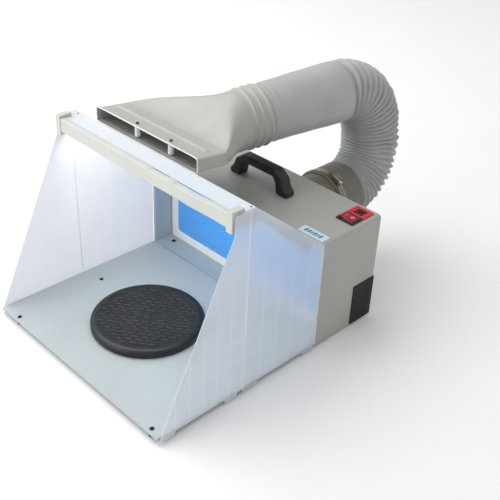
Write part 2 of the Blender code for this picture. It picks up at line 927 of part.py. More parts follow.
def turntable():
    x, y = TURNTABLE_XY
    base = [
        (0.0034, 0.0030),
        (0.0560, 0.0030),
        (0.0600, 0.0012),
        (0.0600, 0),
        (0.0034, 0),
    ]
    at = (x, y, TRAY_TOP + GAP)
    turned("turntable_base", base, FINISH["black_plastic"], at, parent="tray_pivot", steps=28)
    race = ring_profile(0.0360, 0.0400, 0, 0.0073)
    at = (x, y, TRAY_TOP + 0.0036)
    turned("turntable_bearing", race, FINISH["zinc"], at, parent="tray_pivot", steps=24)
    radius = TURNTABLE_R
    platter = [
        (radius - 0.0060, 0.0090),
        (radius - 0.0020, 0.0080),
        (radius, 0.0050),
        (radius, -0.0040),
        (radius - 0.0020, -0.0040),
        (radius - 0.0020, 0.0040),
        (radius - 0.0060, 0.0060),
        (0.0034, 0.0060),
        (0.0034, 0.0090),
    ]
    at = (x, y, TRAY_TOP + 0.0052)
    turned(
        "turntable_platter",
        platter,
        FINISH["black_plastic"],
        at,
        parent="turntable_pivot",
        steps=48,
    )
    spindle = [
        (0, TRAY_TOP + 0.0158),
        (0.0050, TRAY_TOP + 0.0150),
        (0.0054, TRAY_TOP + 0.0145),
        (0.0031, TRAY_TOP + 0.0145),
        (0.0031, TRAY_TOP + GAP),
        (0, TRAY_TOP + GAP),
    ]
    finish = FINISH["black_plastic"]
    turned("turntable_spindle", spindle, finish, (x, y, 0), parent="tray_pivot", steps=14)


# ---------------------------------------------------------------- wings and hood


def wing_rear_outline():
    """(y, z) corners of the fixed part of a wing, with the tabs along its lower edge."""
    edge = 0.0100
    tab = 0.0020
    crease = CREASE_Y + 0.0002
    return [
        (-0.0005, edge),
        (-0.0050, edge),
        (-0.0050, tab),
        (-0.0310, tab),
        (-0.0310, edge),
        (-0.1360, edge),
        (-0.1360, tab),
        (crease, tab),
        (crease, STRIP_Z),
        (STRIP_BACK_Y, STRIP_Z),
        (-0.0005, HOOD_AXIS[2] + 0.0005),
    ]


def wing_flap_outline():
    edge = 0.0100
    tab = 0.0020
    crease = CREASE_Y - 0.0002
    return [
        (crease, STRIP_Z),
        (crease, edge),
        (-0.1790, edge),
        (-0.1790, tab),
        (-0.2040, tab),
        (-0.2040, edge),
        (-0.3020, edge),
        (-0.3020, tab),
        (-0.3335, tab),
        (-0.1945, 0.2980),
        (-0.1945, STRIP_Z),
    ]


def wings():
    for side, word in ((-1, "left"), (1, "right")):
        at = (side * (WING_X + SHEET / 2), 0, 0)
        for name, outline, parent in (
            (f"wing_panel_{word}", wing_rear_outline(), f"wing_pivot_{word}"),
            (f"wing_flap_{word}", wing_flap_outline(), f"flap_pivot_{word}"),
        ):
            flat_outline(name, outline, SHEET, FINISH["wing"], at, FACING_X, parent)


def hood():
    """The folded hood sheet: a slope, a level strip, and a flange down each side."""
    start = Vector((HOOD_AXIS[1] - 0.0010, HOOD_AXIS[2]))
    bend = Vector((STRIP_BACK_Y, STRIP_Z))
    front = Vector((STRIP_FRONT_Y, STRIP_Z))
    slope = (bend - start).normalized()
    below = Vector((-slope.y, slope.x))
    flange_start = start + slope * 0.0220
    lower_start = flange_start + slope * 0.0100 + below * HOOD_FLANGE
    lower_bend = Vector((STRIP_BACK_Y + 0.0080, STRIP_Z - HOOD_FLANGE))
    lower_front = Vector((STRIP_FRONT_Y + 0.0030, STRIP_Z - HOOD_FLANGE + 0.0040))
    top = (start, flange_start, bend, front)
    lower = (lower_start, lower_bend, lower_front)

    def maker(editor):
        left, right = (
            [editor.verts.new((side * HOOD_HALF, p.x, p.y)) for p in top] for side in (-1, 1)
        )
        for index in range(len(top) - 1):
            editor.faces.new((left[index], right[index], right[index + 1], left[index + 1]))
        for side, row in ((-1, left), (1, right)):
            skirt = [editor.verts.new((side * HOOD_HALF, p.x, p.y)) for p in lower]
            for index in range(len(lower) - 1):
                editor.faces.new((row[index + 1], row[index + 2], skirt[index + 1], skirt[index]))
        bmesh.ops.recalc_face_normals(editor, faces=editor.faces)
        if editor.faces[:][0].normal.z < 0:
            bmesh.ops.reverse_faces(editor, faces=editor.faces)

    panel = place(mesh_object("hood_panel", maker), FINISH["wing"], "hood_pivot")
    solidify(panel, SHEET, -1)
    led_bar()


def led_bar():
    """The light bar along the hood's front edge: a channel, the strip in it and its diffuser."""
    half = 0.1960
    front = -0.1965
    back = -0.1870
    low = 0.3010
    high = 0.3240
    wall = 0.0012
    outline = [
        (front, low),
        (front, high),
        (back, high),
        (back, low),
        (back - wall, low),
        (back - wall, high - wall),
        (front + wall, high - wall),
        (front + wall, low),
    ]
    flat_outline(
        "led_housing", outline, 2 * half, FINISH["cream_plastic"], (0, 0, 0), FACING_X, "hood_pivot"
    )
    inner_front = front + wall + GAP
    inner_back = back - wall - GAP
    box(
        "led_strip",
        (-half + 0.0020, inner_front, high - wall - 0.0020),
        (half - 0.0020, inner_back, high - wall - GAP),
        FINISH["led"],
        "hood_pivot",
    )
    box(
        "led_diffuser",
        (-half + 0.0010, inner_front, low + GAP),
        (half - 0.0010, inner_back, low + 0.0020),
        FINISH["white_plastic"],
        "hood_pivot",
    )
    for side, word in ((-1, "left"), (1, "right")):
        xs = sorted((side * (half + GAP), side * 0.2080))
        outline = [
            (front - 0.0010, low - 0.0010),
            (front - 0.0010, STRIP_Z + 0.0055),
            (STRIP_FRONT_Y + 0.0120, STRIP_Z + 0.0055),
            (STRIP_FRONT_Y + 0.0120, STRIP_Z + GAP),
            (STRIP_FRONT_Y - 0.0004, STRIP_Z + GAP),
            (STRIP_FRONT_Y - 0.0004, low - 0.0010),
        ]
        flat_outline(
            f"led_bracket_{word}",
            outline,
            xs[1] - xs[0],
            FINISH["cream_plastic"],
            (sum(xs) / 2, 0, 0),
            FACING_X,
            "hood_pivot",
        )


# ---------------------------------------------------------------- assembly


def make_finishes():
    return {
        "steel": material("steel", (0.50, 0.51, 0.50), 0.45),
        "reveal": material("reveal", (0.42, 0.47, 0.52), 0.40),
        "tray": material("tray", (0.60, 0.65, 0.67), 0.40),
        "zinc": material("zinc", (0.60, 0.60, 0.58), 0.35, 1.0),
        "brass": material("brass", (0.55, 0.47, 0.32), 0.35, 1.0),
        "rubber": material("rubber", (0.03, 0.03, 0.03), 0.75),
        "black_plastic": material("black_plastic", (0.02, 0.02, 0.02), 0.45),
        "dark_plastic": material("dark_plastic", (0.20, 0.20, 0.17), 0.60),
        "grey_plastic": material("grey_plastic", (0.35, 0.36, 0.37), 0.50),
        "red_plastic": material("red_plastic", (0.75, 0.03, 0.05), 0.25),
        "white_plastic": material("white_plastic", (0.88, 0.90, 0.90), 0.40),
        "cream_plastic": material("cream_plastic", (0.82, 0.82, 0.76), 0.45),
        "filter": material("filter", (0.09, 0.40, 0.95), 0.90),
        "wing": material("wing", (0.86, 0.88, 0.97), 0.40, 0.0, 0.6),
        "nozzle": material("nozzle", (0.57, 0.57, 0.54), 0.50),
        "hose": material("hose", (0.55, 0.57, 0.56), 0.55),
        "led": material("led", (0.90, 0.88, 0.70), 0.50),
        "board": material("board", (0.05, 0.25, 0.12), 0.50),
        "label": material("label", (0.78, 0.84, 0.86), 0.40),
    }


def make_pivots():
    root = bpy.data.objects.new("booth_root", None)
    PARTS.objects.link(root)
    root.location = (0, -CENTRE_Y, 0)
    PIVOTS["booth_root"] = Vector((0, 0, 0))
    pivot("tray_pivot", TRAY_AXIS)
    pivot("turntable_pivot", (*TURNTABLE_XY, TRAY_TOP), "tray_pivot")
    pivot("hood_pivot", HOOD_AXIS)
    pivot("filter_pivot", (0, RECESS_DEPTH, LEDGE_Z + GAP))
    pivot("fan_pivot", (OUTLET_X, 0.1000, OUTLET_Z))
    pivot("rocker_pivot", (0.18325, 0.0915, CAB_TOP + 0.0010))
    clamp_r = CUFF_R + 0.0012 + GAP + 0.0048
    clamp_at = (
        OUTLET_X + clamp_r * cos(CLAMP_ANGLE),
        CUFF_FRONT_Y + 0.0095,
        OUTLET_Z + clamp_r * sin(CLAMP_ANGLE),
    )
    pivot("clamp_pivot", clamp_at)
    for side, word in ((-1, "left"), (1, "right")):
        pivot(f"wing_pivot_{word}", (side * WING_AXIS_X, 0, 0))
        pivot(f"flap_pivot_{word}", (side * WING_AXIS_X, CREASE_Y, 0), f"wing_pivot_{word}")


def build():
    make_pivots()
    shell = cabinet_shell()
    switch_wells(shell)
    front_bezel()
    rear_panel()
    base_pan()
    cabinet_feet()
    ledge_studs()
    carry_handle()
    top_switches()
    rocker()
    corner_cover()
    nameplate()
    filter_cartridge()
    filter_guard()
    fan()
    control_board()
    outlet()
    clamp_screw()
    duct_hose()
    connector_tube()
    fishtail_nozzle()
    nozzle_posts()
    tray()
    tray_feet()
    turntable()
    wings()
    hood()


clear_scene()
PARTS = new_collection("airbrush_spray_booth")
CUTTERS = new_collection("cutters", hidden=True)
FINISH = make_finishes()
build()
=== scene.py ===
"""Portable airbrush spray booth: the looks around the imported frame.

Design frame, as in the CAD source: X across, Y = 0 at the cabinet's front rim, Z up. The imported
model's Y is CENTRE_Y less. Metres.
"""

import json
import random
from math import cos, pi, radians, sin

import bmesh
import bpy
from mathutils import Matrix, Vector

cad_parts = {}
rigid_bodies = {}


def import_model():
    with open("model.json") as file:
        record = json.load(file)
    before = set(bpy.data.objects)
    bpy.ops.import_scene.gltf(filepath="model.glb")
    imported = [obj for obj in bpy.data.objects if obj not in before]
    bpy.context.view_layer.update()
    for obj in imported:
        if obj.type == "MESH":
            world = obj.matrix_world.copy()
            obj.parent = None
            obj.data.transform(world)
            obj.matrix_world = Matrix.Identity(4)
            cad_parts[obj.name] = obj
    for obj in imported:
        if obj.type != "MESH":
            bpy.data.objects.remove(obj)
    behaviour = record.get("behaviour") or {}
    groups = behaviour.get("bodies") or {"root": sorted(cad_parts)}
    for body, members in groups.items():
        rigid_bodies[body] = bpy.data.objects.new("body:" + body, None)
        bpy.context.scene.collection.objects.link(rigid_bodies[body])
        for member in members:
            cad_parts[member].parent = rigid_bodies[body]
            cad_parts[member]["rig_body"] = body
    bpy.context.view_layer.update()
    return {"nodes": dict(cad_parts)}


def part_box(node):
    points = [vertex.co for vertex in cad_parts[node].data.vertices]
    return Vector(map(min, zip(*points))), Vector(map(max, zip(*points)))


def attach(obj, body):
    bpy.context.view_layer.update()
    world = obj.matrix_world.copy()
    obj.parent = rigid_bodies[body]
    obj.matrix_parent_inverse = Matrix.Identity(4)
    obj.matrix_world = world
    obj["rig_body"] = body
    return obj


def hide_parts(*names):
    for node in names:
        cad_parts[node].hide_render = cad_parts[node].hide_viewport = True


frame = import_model()

NODES = frame["nodes"]
CENTRE_Y = 0.0236
UP = Vector((0, 0, 1))
RIGHT = Vector((1, 0, 0))
BACK = Vector((0, 1, 0))

# Nozzle, connector tube and hose, as the CAD has them
MOUTH = Vector((-0.0760, -0.1200, 0.3155))
MOUTH_HALF = 0.1275
MOUTH_HALF_HEIGHT = 0.0130
FLAT_Y = -0.0620
NECK = Vector((-0.0390, 0.0420, 0.3120))
TUBE_DIRECTION = Vector((0.2140, 0.9730, 0.0740)).normalized()
NECK_R = 0.0520
NECK_LENGTH = 0.0560
TUBE_END = 0.2130
TUBE_R = 0.0550
OUTLET = Vector((0.0390, 0.2483, 0.1410))
HOSE_R = 0.0540
HOSE_HANDLE = 0.1050
HOSE_RIDGES = 28
CUFF_R = 0.0560
CUFF_FRONT_Y = 0.1860
CUFF_REAR_Y = 0.2480
SPIGOT_R = 0.0520
CLAMP_AT = 0.0095  # the clamp's middle, from the cuff's front

# Wings, hood and light bar
CREASE_Y = -0.1670
STRIP_Z = 0.3280
WING_OUTER_X = 0.2122
LED_HALF = 0.1960
LED_FRONT = -0.1965
LED_BACK = -0.1870

# Turntable
TURNTABLE = Vector((-0.0120, -0.1730, 0.0))
TURNTABLE_R = 0.0965
PLATTER_Z = 0.0182


def row(point):
    """A design-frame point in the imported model's frame."""
    return Vector((point[0], point[1] - CENTRE_Y, point[2]))


# ---------------------------------------------------------------- materials


class Look:
    """A material under construction. Its textures read the object's own coordinates."""

    def __init__(self, name, roughness, metallic=0.0):
        self.material = bpy.data.materials.new(name)
        self.material.use_nodes = True
        self.tree = self.material.node_tree
        self.shader = self.tree.nodes["Principled BSDF"]
        self.set("Roughness", roughness)
        self.set("Metallic", metallic)
        self.place = self.node("ShaderNodeTexCoord").outputs["Object"]
        self.normal = None

    def set(self, socket, value):
        if isinstance(value, bpy.types.NodeSocket):
            self.tree.links.new(value, self.shader.inputs[socket])
        else:
            self.shader.inputs[socket].default_value = value

    def node(self, kind, inputs=None, **settings):
        made = self.tree.nodes.new(kind)
        for key, value in settings.items():
            setattr(made, key, value)
        for key, value in (inputs or {}).items():
            if isinstance(value, bpy.types.NodeSocket):
                self.tree.links.new(value, made.inputs[key])
            else:
                made.inputs[key].default_value = value
        return made

    def stretched(self, scale):
        inputs = {"Vector": self.place, "Scale": scale}
        return self.node("ShaderNodeMapping", inputs).outputs["Vector"]

    def noise(self, scale, detail=2.0, place=None):
        inputs = {"Vector": place or self.place, "Scale": scale, "Detail": detail}
        return self.node("ShaderNodeTexNoise", inputs).outputs["Fac"]

    def cells(self, scale):
        inputs = {"Vector": self.place, "Scale": scale}
        return self.node("ShaderNodeTexVoronoi", inputs).outputs["Distance"]

    def remap(self, value, low, high, to_low=0.0, to_high=1.0):
        inputs = {"Value": value, "From Min": low, "From Max": high}
        inputs |= {"To Min": to_low, "To Max": to_high}
        return self.node("ShaderNodeMapRange", inputs).outputs["Result"]

    def math(self, operation, first, second=0.0):
        return self.node("ShaderNodeMath", {0: first, 1: second}, operation=operation).outputs[0]

    def axis(self, name):
        return self.node("ShaderNodeSeparateXYZ", {"Vector": self.place}).outputs[name]

    def mix(self, amount, first, second):
        made = self.node("ShaderNodeMix", data_type="RGBA")
        for index, value in ((0, amount), (6, first), (7, second)):
            if isinstance(value, bpy.types.NodeSocket):
                self.tree.links.new(value, made.inputs[index])
            else:
                made.inputs[index].default_value = value if index == 0 else (*value, 1.0)
        return made.outputs[2]

    def bump(self, height, distance, strength=1.0):
        inputs = {"Height": height, "Distance": distance, "Strength": strength}
        if self.normal:
            inputs["Normal"] = self.normal
        self.normal = self.node("ShaderNodeBump", inputs).outputs["Normal"]
        self.set("Normal", self.normal)


def shade(colour, factor):
    return tuple(min(1.0, channel * factor) for channel in colour)


def mottled(look, colour, spread, scale):
    """A base colour that drifts a little over the piece, with a finer grain on top."""
    broad = look.remap(look.noise(scale, 3.0), 0.35, 0.65)
    fine = look.remap(look.noise(scale * 40, 2.0), 0.3, 0.7)
    base = look.mix(broad, shade(colour, 1 - spread), shade(colour, 1 + spread))
    return look.mix(look.math("MULTIPLY", fine, 0.25), base, shade(colour, 1 - 2 * spread))


GRID_LIGHT = (0.97, 0.975, 1.0)
GRID_Y_WIDTH = 0.0016
GRID_Z_WIDTH = 0.0014
GRID_Z_FIRST = 0.0335
GRID_Z_PITCH = 0.0385
FIBRE_BLUE = (0.075, 0.385, 0.93)
FIBRE_LIGHT_BLUE = (0.105, 0.450, 1.0)
SLOT_PITCH = 0.0016


def painted_steel(name, colour, roughness=0.42):
    """Powder coat: orange peel, fine speckle and a slightly uneven gloss."""
    look = Look(name, roughness)
    look.set("Base Color", mottled(look, colour, 0.035, 9.0))
    rough = look.remap(look.noise(55.0, 4.0), 0.3, 0.7, roughness - 0.07, roughness + 0.09)
    look.set("Roughness", rough)
    look.bump(look.noise(420.0, 2.0), 0.00022, 0.5)
    look.bump(look.noise(1900.0, 1.0), 0.00006, 0.4)
    look.set("Specular IOR Level", 0.45)
    return look.material


def moulded(name, colour, roughness, grain=1500.0, depth=0.00005, spread=0.05):
    """Moulded plastic: a fine spark-eroded grain and faint flow marks."""
    look = Look(name, roughness)
    look.set("Base Color", mottled(look, colour, spread, 16.0))
    flow = look.noise(30.0, 4.0, look.stretched((1.0, 1.0, 0.35)))
    look.set("Roughness", look.remap(flow, 0.3, 0.7, roughness - 0.06, roughness + 0.08))
    look.bump(look.cells(grain), depth, 0.6)
    look.bump(look.noise(140.0, 2.0), 0.00012, 0.25)
    return look.material


def plated(name, colour, roughness, stretch):
    """Plated metal with fine drawing lines along one direction."""
    look = Look(name, roughness, 1.0)
    lines = look.noise(900.0, 3.0, look.stretched(stretch))
    stains = look.remap(look.noise(60.0, 4.0), 0.35, 0.7)
    look.set("Base Color", look.mix(stains, colour, shade(colour, 0.72)))
    look.set("Roughness", look.remap(lines, 0.3, 0.7, roughness - 0.08, roughness + 0.14))
    look.bump(lines, 0.00003, 0.5)
    return look.material


def rubber(name):
    look = Look(name, 0.78)
    look.set("Base Color", mottled(look, (0.020, 0.020, 0.021), 0.15, 60.0))
    look.bump(look.noise(800.0, 3.0), 0.00010, 0.6)
    look.set("Specular IOR Level", 0.35)
    return look.material


def line_mask(look, axis, first, pitch, width):
    """1 on evenly spaced lines across an axis, 0 between them, with soft edges."""
    shifted = look.math("SUBTRACT", look.axis(axis), first - pitch / 2)
    wave = look.math("PINGPONG", look.math("ADD", shifted, pitch * 64), pitch / 2)
    return look.remap(wave, pitch / 2 - width, pitch / 2 - width * 0.35)


def wing_plastic(name, tint, first_y, pitch_y, transmission, grid_strength):
    """Frosted sheet that lets light through, with a pressed grid that fades towards the top."""
    look = Look(name, 0.46)
    upright = line_mask(look, "Y", first_y - CENTRE_Y, pitch_y, GRID_Y_WIDTH)
    level = line_mask(look, "Z", GRID_Z_FIRST, GRID_Z_PITCH, GRID_Z_WIDTH)
    fade_level = look.remap(look.axis("Z"), 0.150, 0.185, 0.55, 0.0)
    fade_upright = look.remap(look.axis("Z"), 0.150, 0.230, 0.9, 0.12)
    grid = look.math(
        "MAXIMUM",
        look.math("MULTIPLY", upright, fade_upright),
        look.math("MULTIPLY", level, fade_level),
    )
    grid = look.math("MULTIPLY", grid, grid_strength)
    haze = look.remap(look.noise(11.0, 3.0), 0.35, 0.65)
    base = look.mix(haze, shade(tint, 0.965), tint)
    look.set("Base Color", look.mix(grid, base, GRID_LIGHT))
    look.set("Roughness", look.remap(look.noise(90.0, 3.0), 0.3, 0.7, 0.38, 0.48))
    look.set("Transmission Weight", transmission)
    look.set("IOR", 1.16)
    look.bump(grid, 0.00035, 0.7)
    look.bump(look.noise(260.0, 2.0), 0.00012, 0.35)
    return look.material


def filter_fibre(name):
    """Non-woven blue fibre: tangled threads over a soft, uneven colour."""
    look = Look(name, 0.95)
    threads = look.noise(620.0, 6.0, look.stretched((1.0, 1.0, 0.55)))
    crossing = look.noise(520.0, 6.0, look.stretched((0.5, 1.0, 1.1)))
    tangle = look.math("MAXIMUM", threads, crossing)
    cloud = look.remap(look.noise(24.0, 3.0), 0.35, 0.65)
    base = look.mix(cloud, FIBRE_BLUE, FIBRE_LIGHT_BLUE)
    strands = look.remap(tangle, 0.45, 0.72)
    look.set("Base Color", look.mix(strands, shade(FIBRE_BLUE, 0.86), base))
    look.bump(tangle, 0.0009, 0.7)
    look.set("Sheen Weight", 0.35)
    look.set("Specular IOR Level", 0.15)
    return look.material


def hose_plastic(name, colour, roughness=0.50):
    """Soft duct plastic: faint creases, a waxy gloss and a colour that drifts a little."""
    look = Look(name, roughness)
    creases = look.noise(70.0, 5.0)
    look.set("Base Color", mottled(look, colour, 0.045, 22.0))
    look.set("Roughness", look.remap(creases, 0.3, 0.7, roughness - 0.08, roughness + 0.1))
    look.bump(creases, 0.0006, 0.35)
    look.bump(look.noise(900.0, 2.0), 0.00005, 0.4)
    return look.material


def light_board(name):
    """The light strip: a white board with a yellow emitter every few millimetres."""
    look = Look(name, 0.45)
    emitters = line_mask(look, "X", 0.0, 0.0165, 0.0045)
    copper = line_mask(look, "X", 0.00825, 0.0165, 0.0020)
    base = look.mix(emitters, (0.80, 0.80, 0.77), (0.88, 0.72, 0.16))
    look.set("Base Color", look.mix(copper, base, (0.72, 0.45, 0.20)))
    look.bump(emitters, 0.0006)
    return look.material


def circuit_board(name):
    """Green solder mask with tinned tracks and pads."""
    look = Look(name, 0.35)
    tracks = line_mask(look, "X", 0.0, 0.0032, 0.0006)
    pads = look.remap(look.cells(240.0), 0.18, 0.12)
    base = look.mix(tracks, (0.012, 0.10, 0.035), (0.03, 0.20, 0.07))
    look.set("Base Color", look.mix(pads, base, (0.62, 0.60, 0.54)))
    look.bump(look.math("MAXIMUM", tracks, pads), 0.0001, 0.8)
    return look.material


def printed_film(name):
    """The pale plate: satin film with a faint paper tooth."""
    look = Look(name, 0.38)
    look.set("Base Color", mottled(look, (0.60, 0.70, 0.73), 0.03, 40.0))
    look.bump(look.noise(1400.0, 2.0), 0.00004, 0.5)
    return look.material


def clamp_steel(name, colour):
    """Band steel with the worm's slanted slots pressed across it."""
    look = Look(name, 0.30, 1.0)
    centre = row((OUTLET.x, 0, OUTLET.z))
    across = look.math("SUBTRACT", look.axis("X"), centre.x)
    up = look.math("SUBTRACT", look.axis("Z"), centre.z)
    turn = look.math("MULTIPLY", look.math("ARCTAN2", up, across), CUFF_R)
    slant = look.math("ADD", turn, look.math("MULTIPLY", look.axis("Y"), 0.25))
    wave = look.math("PINGPONG", look.math("ADD", slant, 1.0), SLOT_PITCH)
    off_middle = look.math("SUBTRACT", look.axis("Y"), CUFF_FRONT_Y + CLAMP_AT - CENTRE_Y)
    inside = look.remap(look.math("ABSOLUTE", off_middle), 0.0036, 0.0030)
    slots = look.math("MULTIPLY", look.remap(wave, 0.0008, 0.0011), inside)
    stains = look.remap(look.noise(120.0, 4.0), 0.35, 0.7)
    base = look.mix(stains, colour, shade(colour, 0.7))
    # The slots are painted near black: painted shade in the pressed slots
    look.set("Base Color", look.mix(slots, base, shade(colour, 0.15)))
    look.bump(look.math("SUBTRACT", 1.0, slots), 0.0004)
    return look.material


# Painted light: the left wing's paler tint is a lit copy of the wing plastic, and the right wing's
# and the hood's tint is a shaded copy
RIGHT_SHADED_TINT = (0.85, 0.89, 0.935)
LEFT_LIT_TINT = (0.93, 0.93, 0.95)

LOOKS = {
    "grey_steel": painted_steel("grey_steel", (0.375, 0.378, 0.352)),
    "reveal_steel": painted_steel("reveal_steel", (0.40, 0.46, 0.50), 0.38),
    "tray_steel": painted_steel("tray_steel", (0.440, 0.485, 0.495), 0.38),
    "black_plastic": moulded("black_plastic", (0.008, 0.009, 0.010), 0.40, 1300.0, 0.00008, 0.2),
    "red_plastic": moulded("red_plastic", (0.62, 0.020, 0.035), 0.22, 900.0, 0.00002),
    "rocker_red": moulded("rocker_red", (0.30, 0.008, 0.022), 0.20, 900.0, 0.00002),
    "zinc": plated("zinc", (0.62, 0.62, 0.60), 0.32, (1.0, 0.06, 1.0)),
    "clamp_steel": clamp_steel("clamp_steel", (0.50, 0.43, 0.32)),
    "dark_plastic": hose_plastic("dark_plastic", (0.165, 0.163, 0.135), 0.55),
    "grey_plastic": moulded("grey_plastic", (0.30, 0.31, 0.32), 0.45),
    "white_plastic": moulded("white_plastic", (0.86, 0.87, 0.86), 0.36),
    "cream_plastic": moulded("cream_plastic", (0.58, 0.60, 0.555), 0.42),
    "filter_fibre": filter_fibre("filter_fibre"),
    "led_board": light_board("led_board"),
    "circuit_board": circuit_board("circuit_board"),
    "plate_film": printed_film("plate_film"),
    "plate_ink": moulded("plate_ink", (0.04, 0.20, 0.42), 0.35),
    "switch_ink": moulded("switch_ink", (0.85, 0.45, 0.50), 0.35),
    "hose_plastic": hose_plastic("hose_plastic", (0.37, 0.39, 0.375)),
    "tube_plastic": hose_plastic("tube_plastic", (0.385, 0.40, 0.385), 0.46),
    "nozzle_plastic": moulded("nozzle_plastic", (0.415, 0.415, 0.385), 0.44, 1100.0, 0.00006, 0.03),
    "panel_right": wing_plastic("panel_right", RIGHT_SHADED_TINT, -0.131, 0.0327, 0.62, 1.0),
    "flap_right": wing_plastic("flap_right", RIGHT_SHADED_TINT, -0.195, 0.0265, 0.52, 1.0),
    "panel_left": wing_plastic("panel_left", LEFT_LIT_TINT, -0.131, 0.0327, 0.50, 0.45),
    "flap_left": wing_plastic("flap_left", LEFT_LIT_TINT, -0.195, 0.0265, 0.50, 0.45),
    "hood_plastic": wing_plastic("hood_plastic", RIGHT_SHADED_TINT, -0.131, 0.5, 0.30, 0.0),
    "edge_plastic": moulded("edge_plastic", (0.83, 0.84, 0.93), 0.35),
    # Painted highlight: the mouth's rolled edge is the nozzle's plastic, painted paler
    "lip_highlight_plastic": moulded("lip_highlight_plastic", (0.72, 0.72, 0.68), 0.40, 1100.0, 0.00004, 0.03),
    # Painted highlight: the turntable's raised dashes are its black plastic, painted lighter where
    # they catch light
    "dash_highlight_plastic": moulded("dash_highlight_plastic", (0.045, 0.046, 0.050), 0.26, 1300.0, 0.00003, 0.1),
    "cover_plastic": moulded("cover_plastic", (0.005, 0.005, 0.005), 0.70, 1300.0, 0.00008, 0.2),
    "rubber": rubber("rubber"),
}


# ---------------------------------------------------------------- mesh helpers

SHARP_ANGLE = 32  # degrees between faces that a CAD node's rounding and shading treat as an edge
FLAT_ANGLE = 0.8  # degrees under which two CAD faces are one flat face
CAD_MERGE = 2e-6
SEAM_MERGE = 1e-7


def piece(name, editor, look, body, smooth=35, replaces=()):
    """The finished mesh as an object that rides on a body."""
    mesh = bpy.data.meshes.new(name)
    editor.to_mesh(mesh)
    editor.free()
    made = bpy.data.objects.new(name, mesh)
    bpy.context.scene.collection.objects.link(made)
    mesh.materials.append(LOOKS[look])
    mesh.shade_smooth()
    mesh.set_sharp_from_angle(angle=radians(smooth))
    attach(made, body)
    if replaces:
        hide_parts(*replaces)
    return made


def rounded_edges(obj, width, segments=2):
    made = obj.modifiers.new("rounded_edges", "BEVEL")
    made.width = width
    made.segments = segments
    made.limit_method = "ANGLE"
    made.angle_limit = radians(SHARP_ANGLE)
    made.harden_normals = True


def softened(node, look, width, segments):
    """A copy of a CAD node with its sharp edges rounded, which stands for it."""
    editor = bmesh.new()
    editor.from_mesh(NODES[node].data)
    bmesh.ops.remove_doubles(editor, verts=editor.verts, dist=CAD_MERGE)
    bmesh.ops.dissolve_limit(
        editor, angle_limit=radians(FLAT_ANGLE), verts=editor.verts, edges=editor.edges
    )
    body = NODES[node]["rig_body"]
    made = piece(f"{node}_finished", editor, look, body, SHARP_ANGLE, [node])
    rounded_edges(made, width, segments)


def skin(editor, rings, closed_ends=False):
    """Quads through rings of equal point counts. Each ring is closed on itself."""
    rows = [[editor.verts.new(point) for point in ring] for ring in rings]
    count = len(rows[0])
    for near, far in zip(rows, rows[1:]):
        for index in range(count):
            following = (index + 1) % count
            editor.faces.new((near[index], near[following], far[following], far[index]))
    if closed_ends:
        editor.faces.new(rows[0][::-1])
        editor.faces.new(rows[-1])
    bmesh.ops.recalc_face_normals(editor, faces=editor.faces)


def ring_skin(editor, rings):
    """A skin whose last ring joins its first."""
    skin(editor, rings + rings[:1])
    bmesh.ops.remove_doubles(editor, verts=editor.verts, dist=SEAM_MERGE)
    bmesh.ops.recalc_face_normals(editor, faces=editor.faces)


def in_row(rings):
    return [[row(point) for point in ring] for ring in rings]


def thicken(obj, thickness):
    made = obj.modifiers.new("wall", "SOLIDIFY")
    made.thickness = thickness
    made.offset = -1


def round_ring(centre, along, radius, sides, ripple=None):
    """A circle across a direction, starting at the side nearest +X. ripple(angle) adds to it."""
    across = Vector((along.y, -along.x, 0)).normalized()
    up = across.cross(along)
    points = []
    for index in range(sides):
        angle = 2 * pi * index / sides
        reach = radius + (ripple(angle) if ripple else 0.0)
        points.append(centre + (across * cos(angle) + up * sin(angle)) * reach)
    return points


def turned(editor, profile, centre, steps=96):
    """A closed profile of (radius, height) turned round a vertical line."""
    rings = []
    for radius, height in profile:
        ring = []
        for index in range(steps):
            angle = 2 * pi * index / steps
            offset = Vector((radius * cos(angle), radius * sin(angle), height))
            ring.append(centre + offset)
        rings.append(ring)
    ring_skin(editor, rings)


def bead(height, width, distance):
    """The height of a smooth raised line at this distance from its middle."""
    if abs(distance) >= width:
        return 0.0
    return height * (0.5 + 0.5 * cos(pi * distance / width))


def ease(t):
    return t * t * (3 - 2 * t)


def unit(value):
    return min(1.0, max(0.0, value))


# ---------------------------------------------------------------- nozzle and tube

NOZZLE_SIDES = 128
NOZZLE_WALL = 0.0020
RIBS = (0.0010, 0.0145, 0.0290, 0.0430)  # distances along the collar
RIB_HEIGHT = 0.0034
RIB_WIDTH = 0.0036
COLLAR_R = NECK_R - 0.0014  # between the ribs
COLLAR_STEP = 0.0009
FLAT_DROP = 0.0070  # how far the flat mouth's middle sinks by FLAT_Y
FLAT_HALF_HEIGHT = MOUTH_HALF_HEIGHT - 0.0004
LIP_STEP = 0.0008
LIP_STEPS = 9
FLAT_STEP = 0.0016
FLAT_STEPS = 31
FAN_RINGS = 40
LIP_LENGTH = 0.0036
LIP_SLOPE = 0.0016
LIP_HEIGHT = 0.0016
BEAD_Y = -0.0870
BEAD_HALF = MOUTH_HALF - 0.0130
BEAD_HEIGHT = 0.0030
BEAD_WIDTH = 0.0042
RIM_OUT = 0.0013
RIM_ALONG = 0.0015
RIM_SIDES = 8
SCREW_PROFILE = [(0.0, 0.0022), (0.0018, 0.0020), (0.0026, 0.0010), (0.0026, 0.0), (0.0, 0.0)]
POST_SCREW_Y = MOUTH.y + 0.0110
POST_SCREW_Z = MOUTH.z + MOUTH_HALF_HEIGHT - 0.0012
POST_SCREWS_X = {"left": -0.1080, "right": -0.0240}
TUBE_SIDES = 96
TUBE_START = NECK_LENGTH - 0.0060  # tucked under the collar's last rib
TUBE_START_R = NECK_R - 0.0010
TUBE_FULL_AT = 0.88  # share of the tube over which it widens
TUBE_RINGS = 90
TUBE_WALL = 0.0020


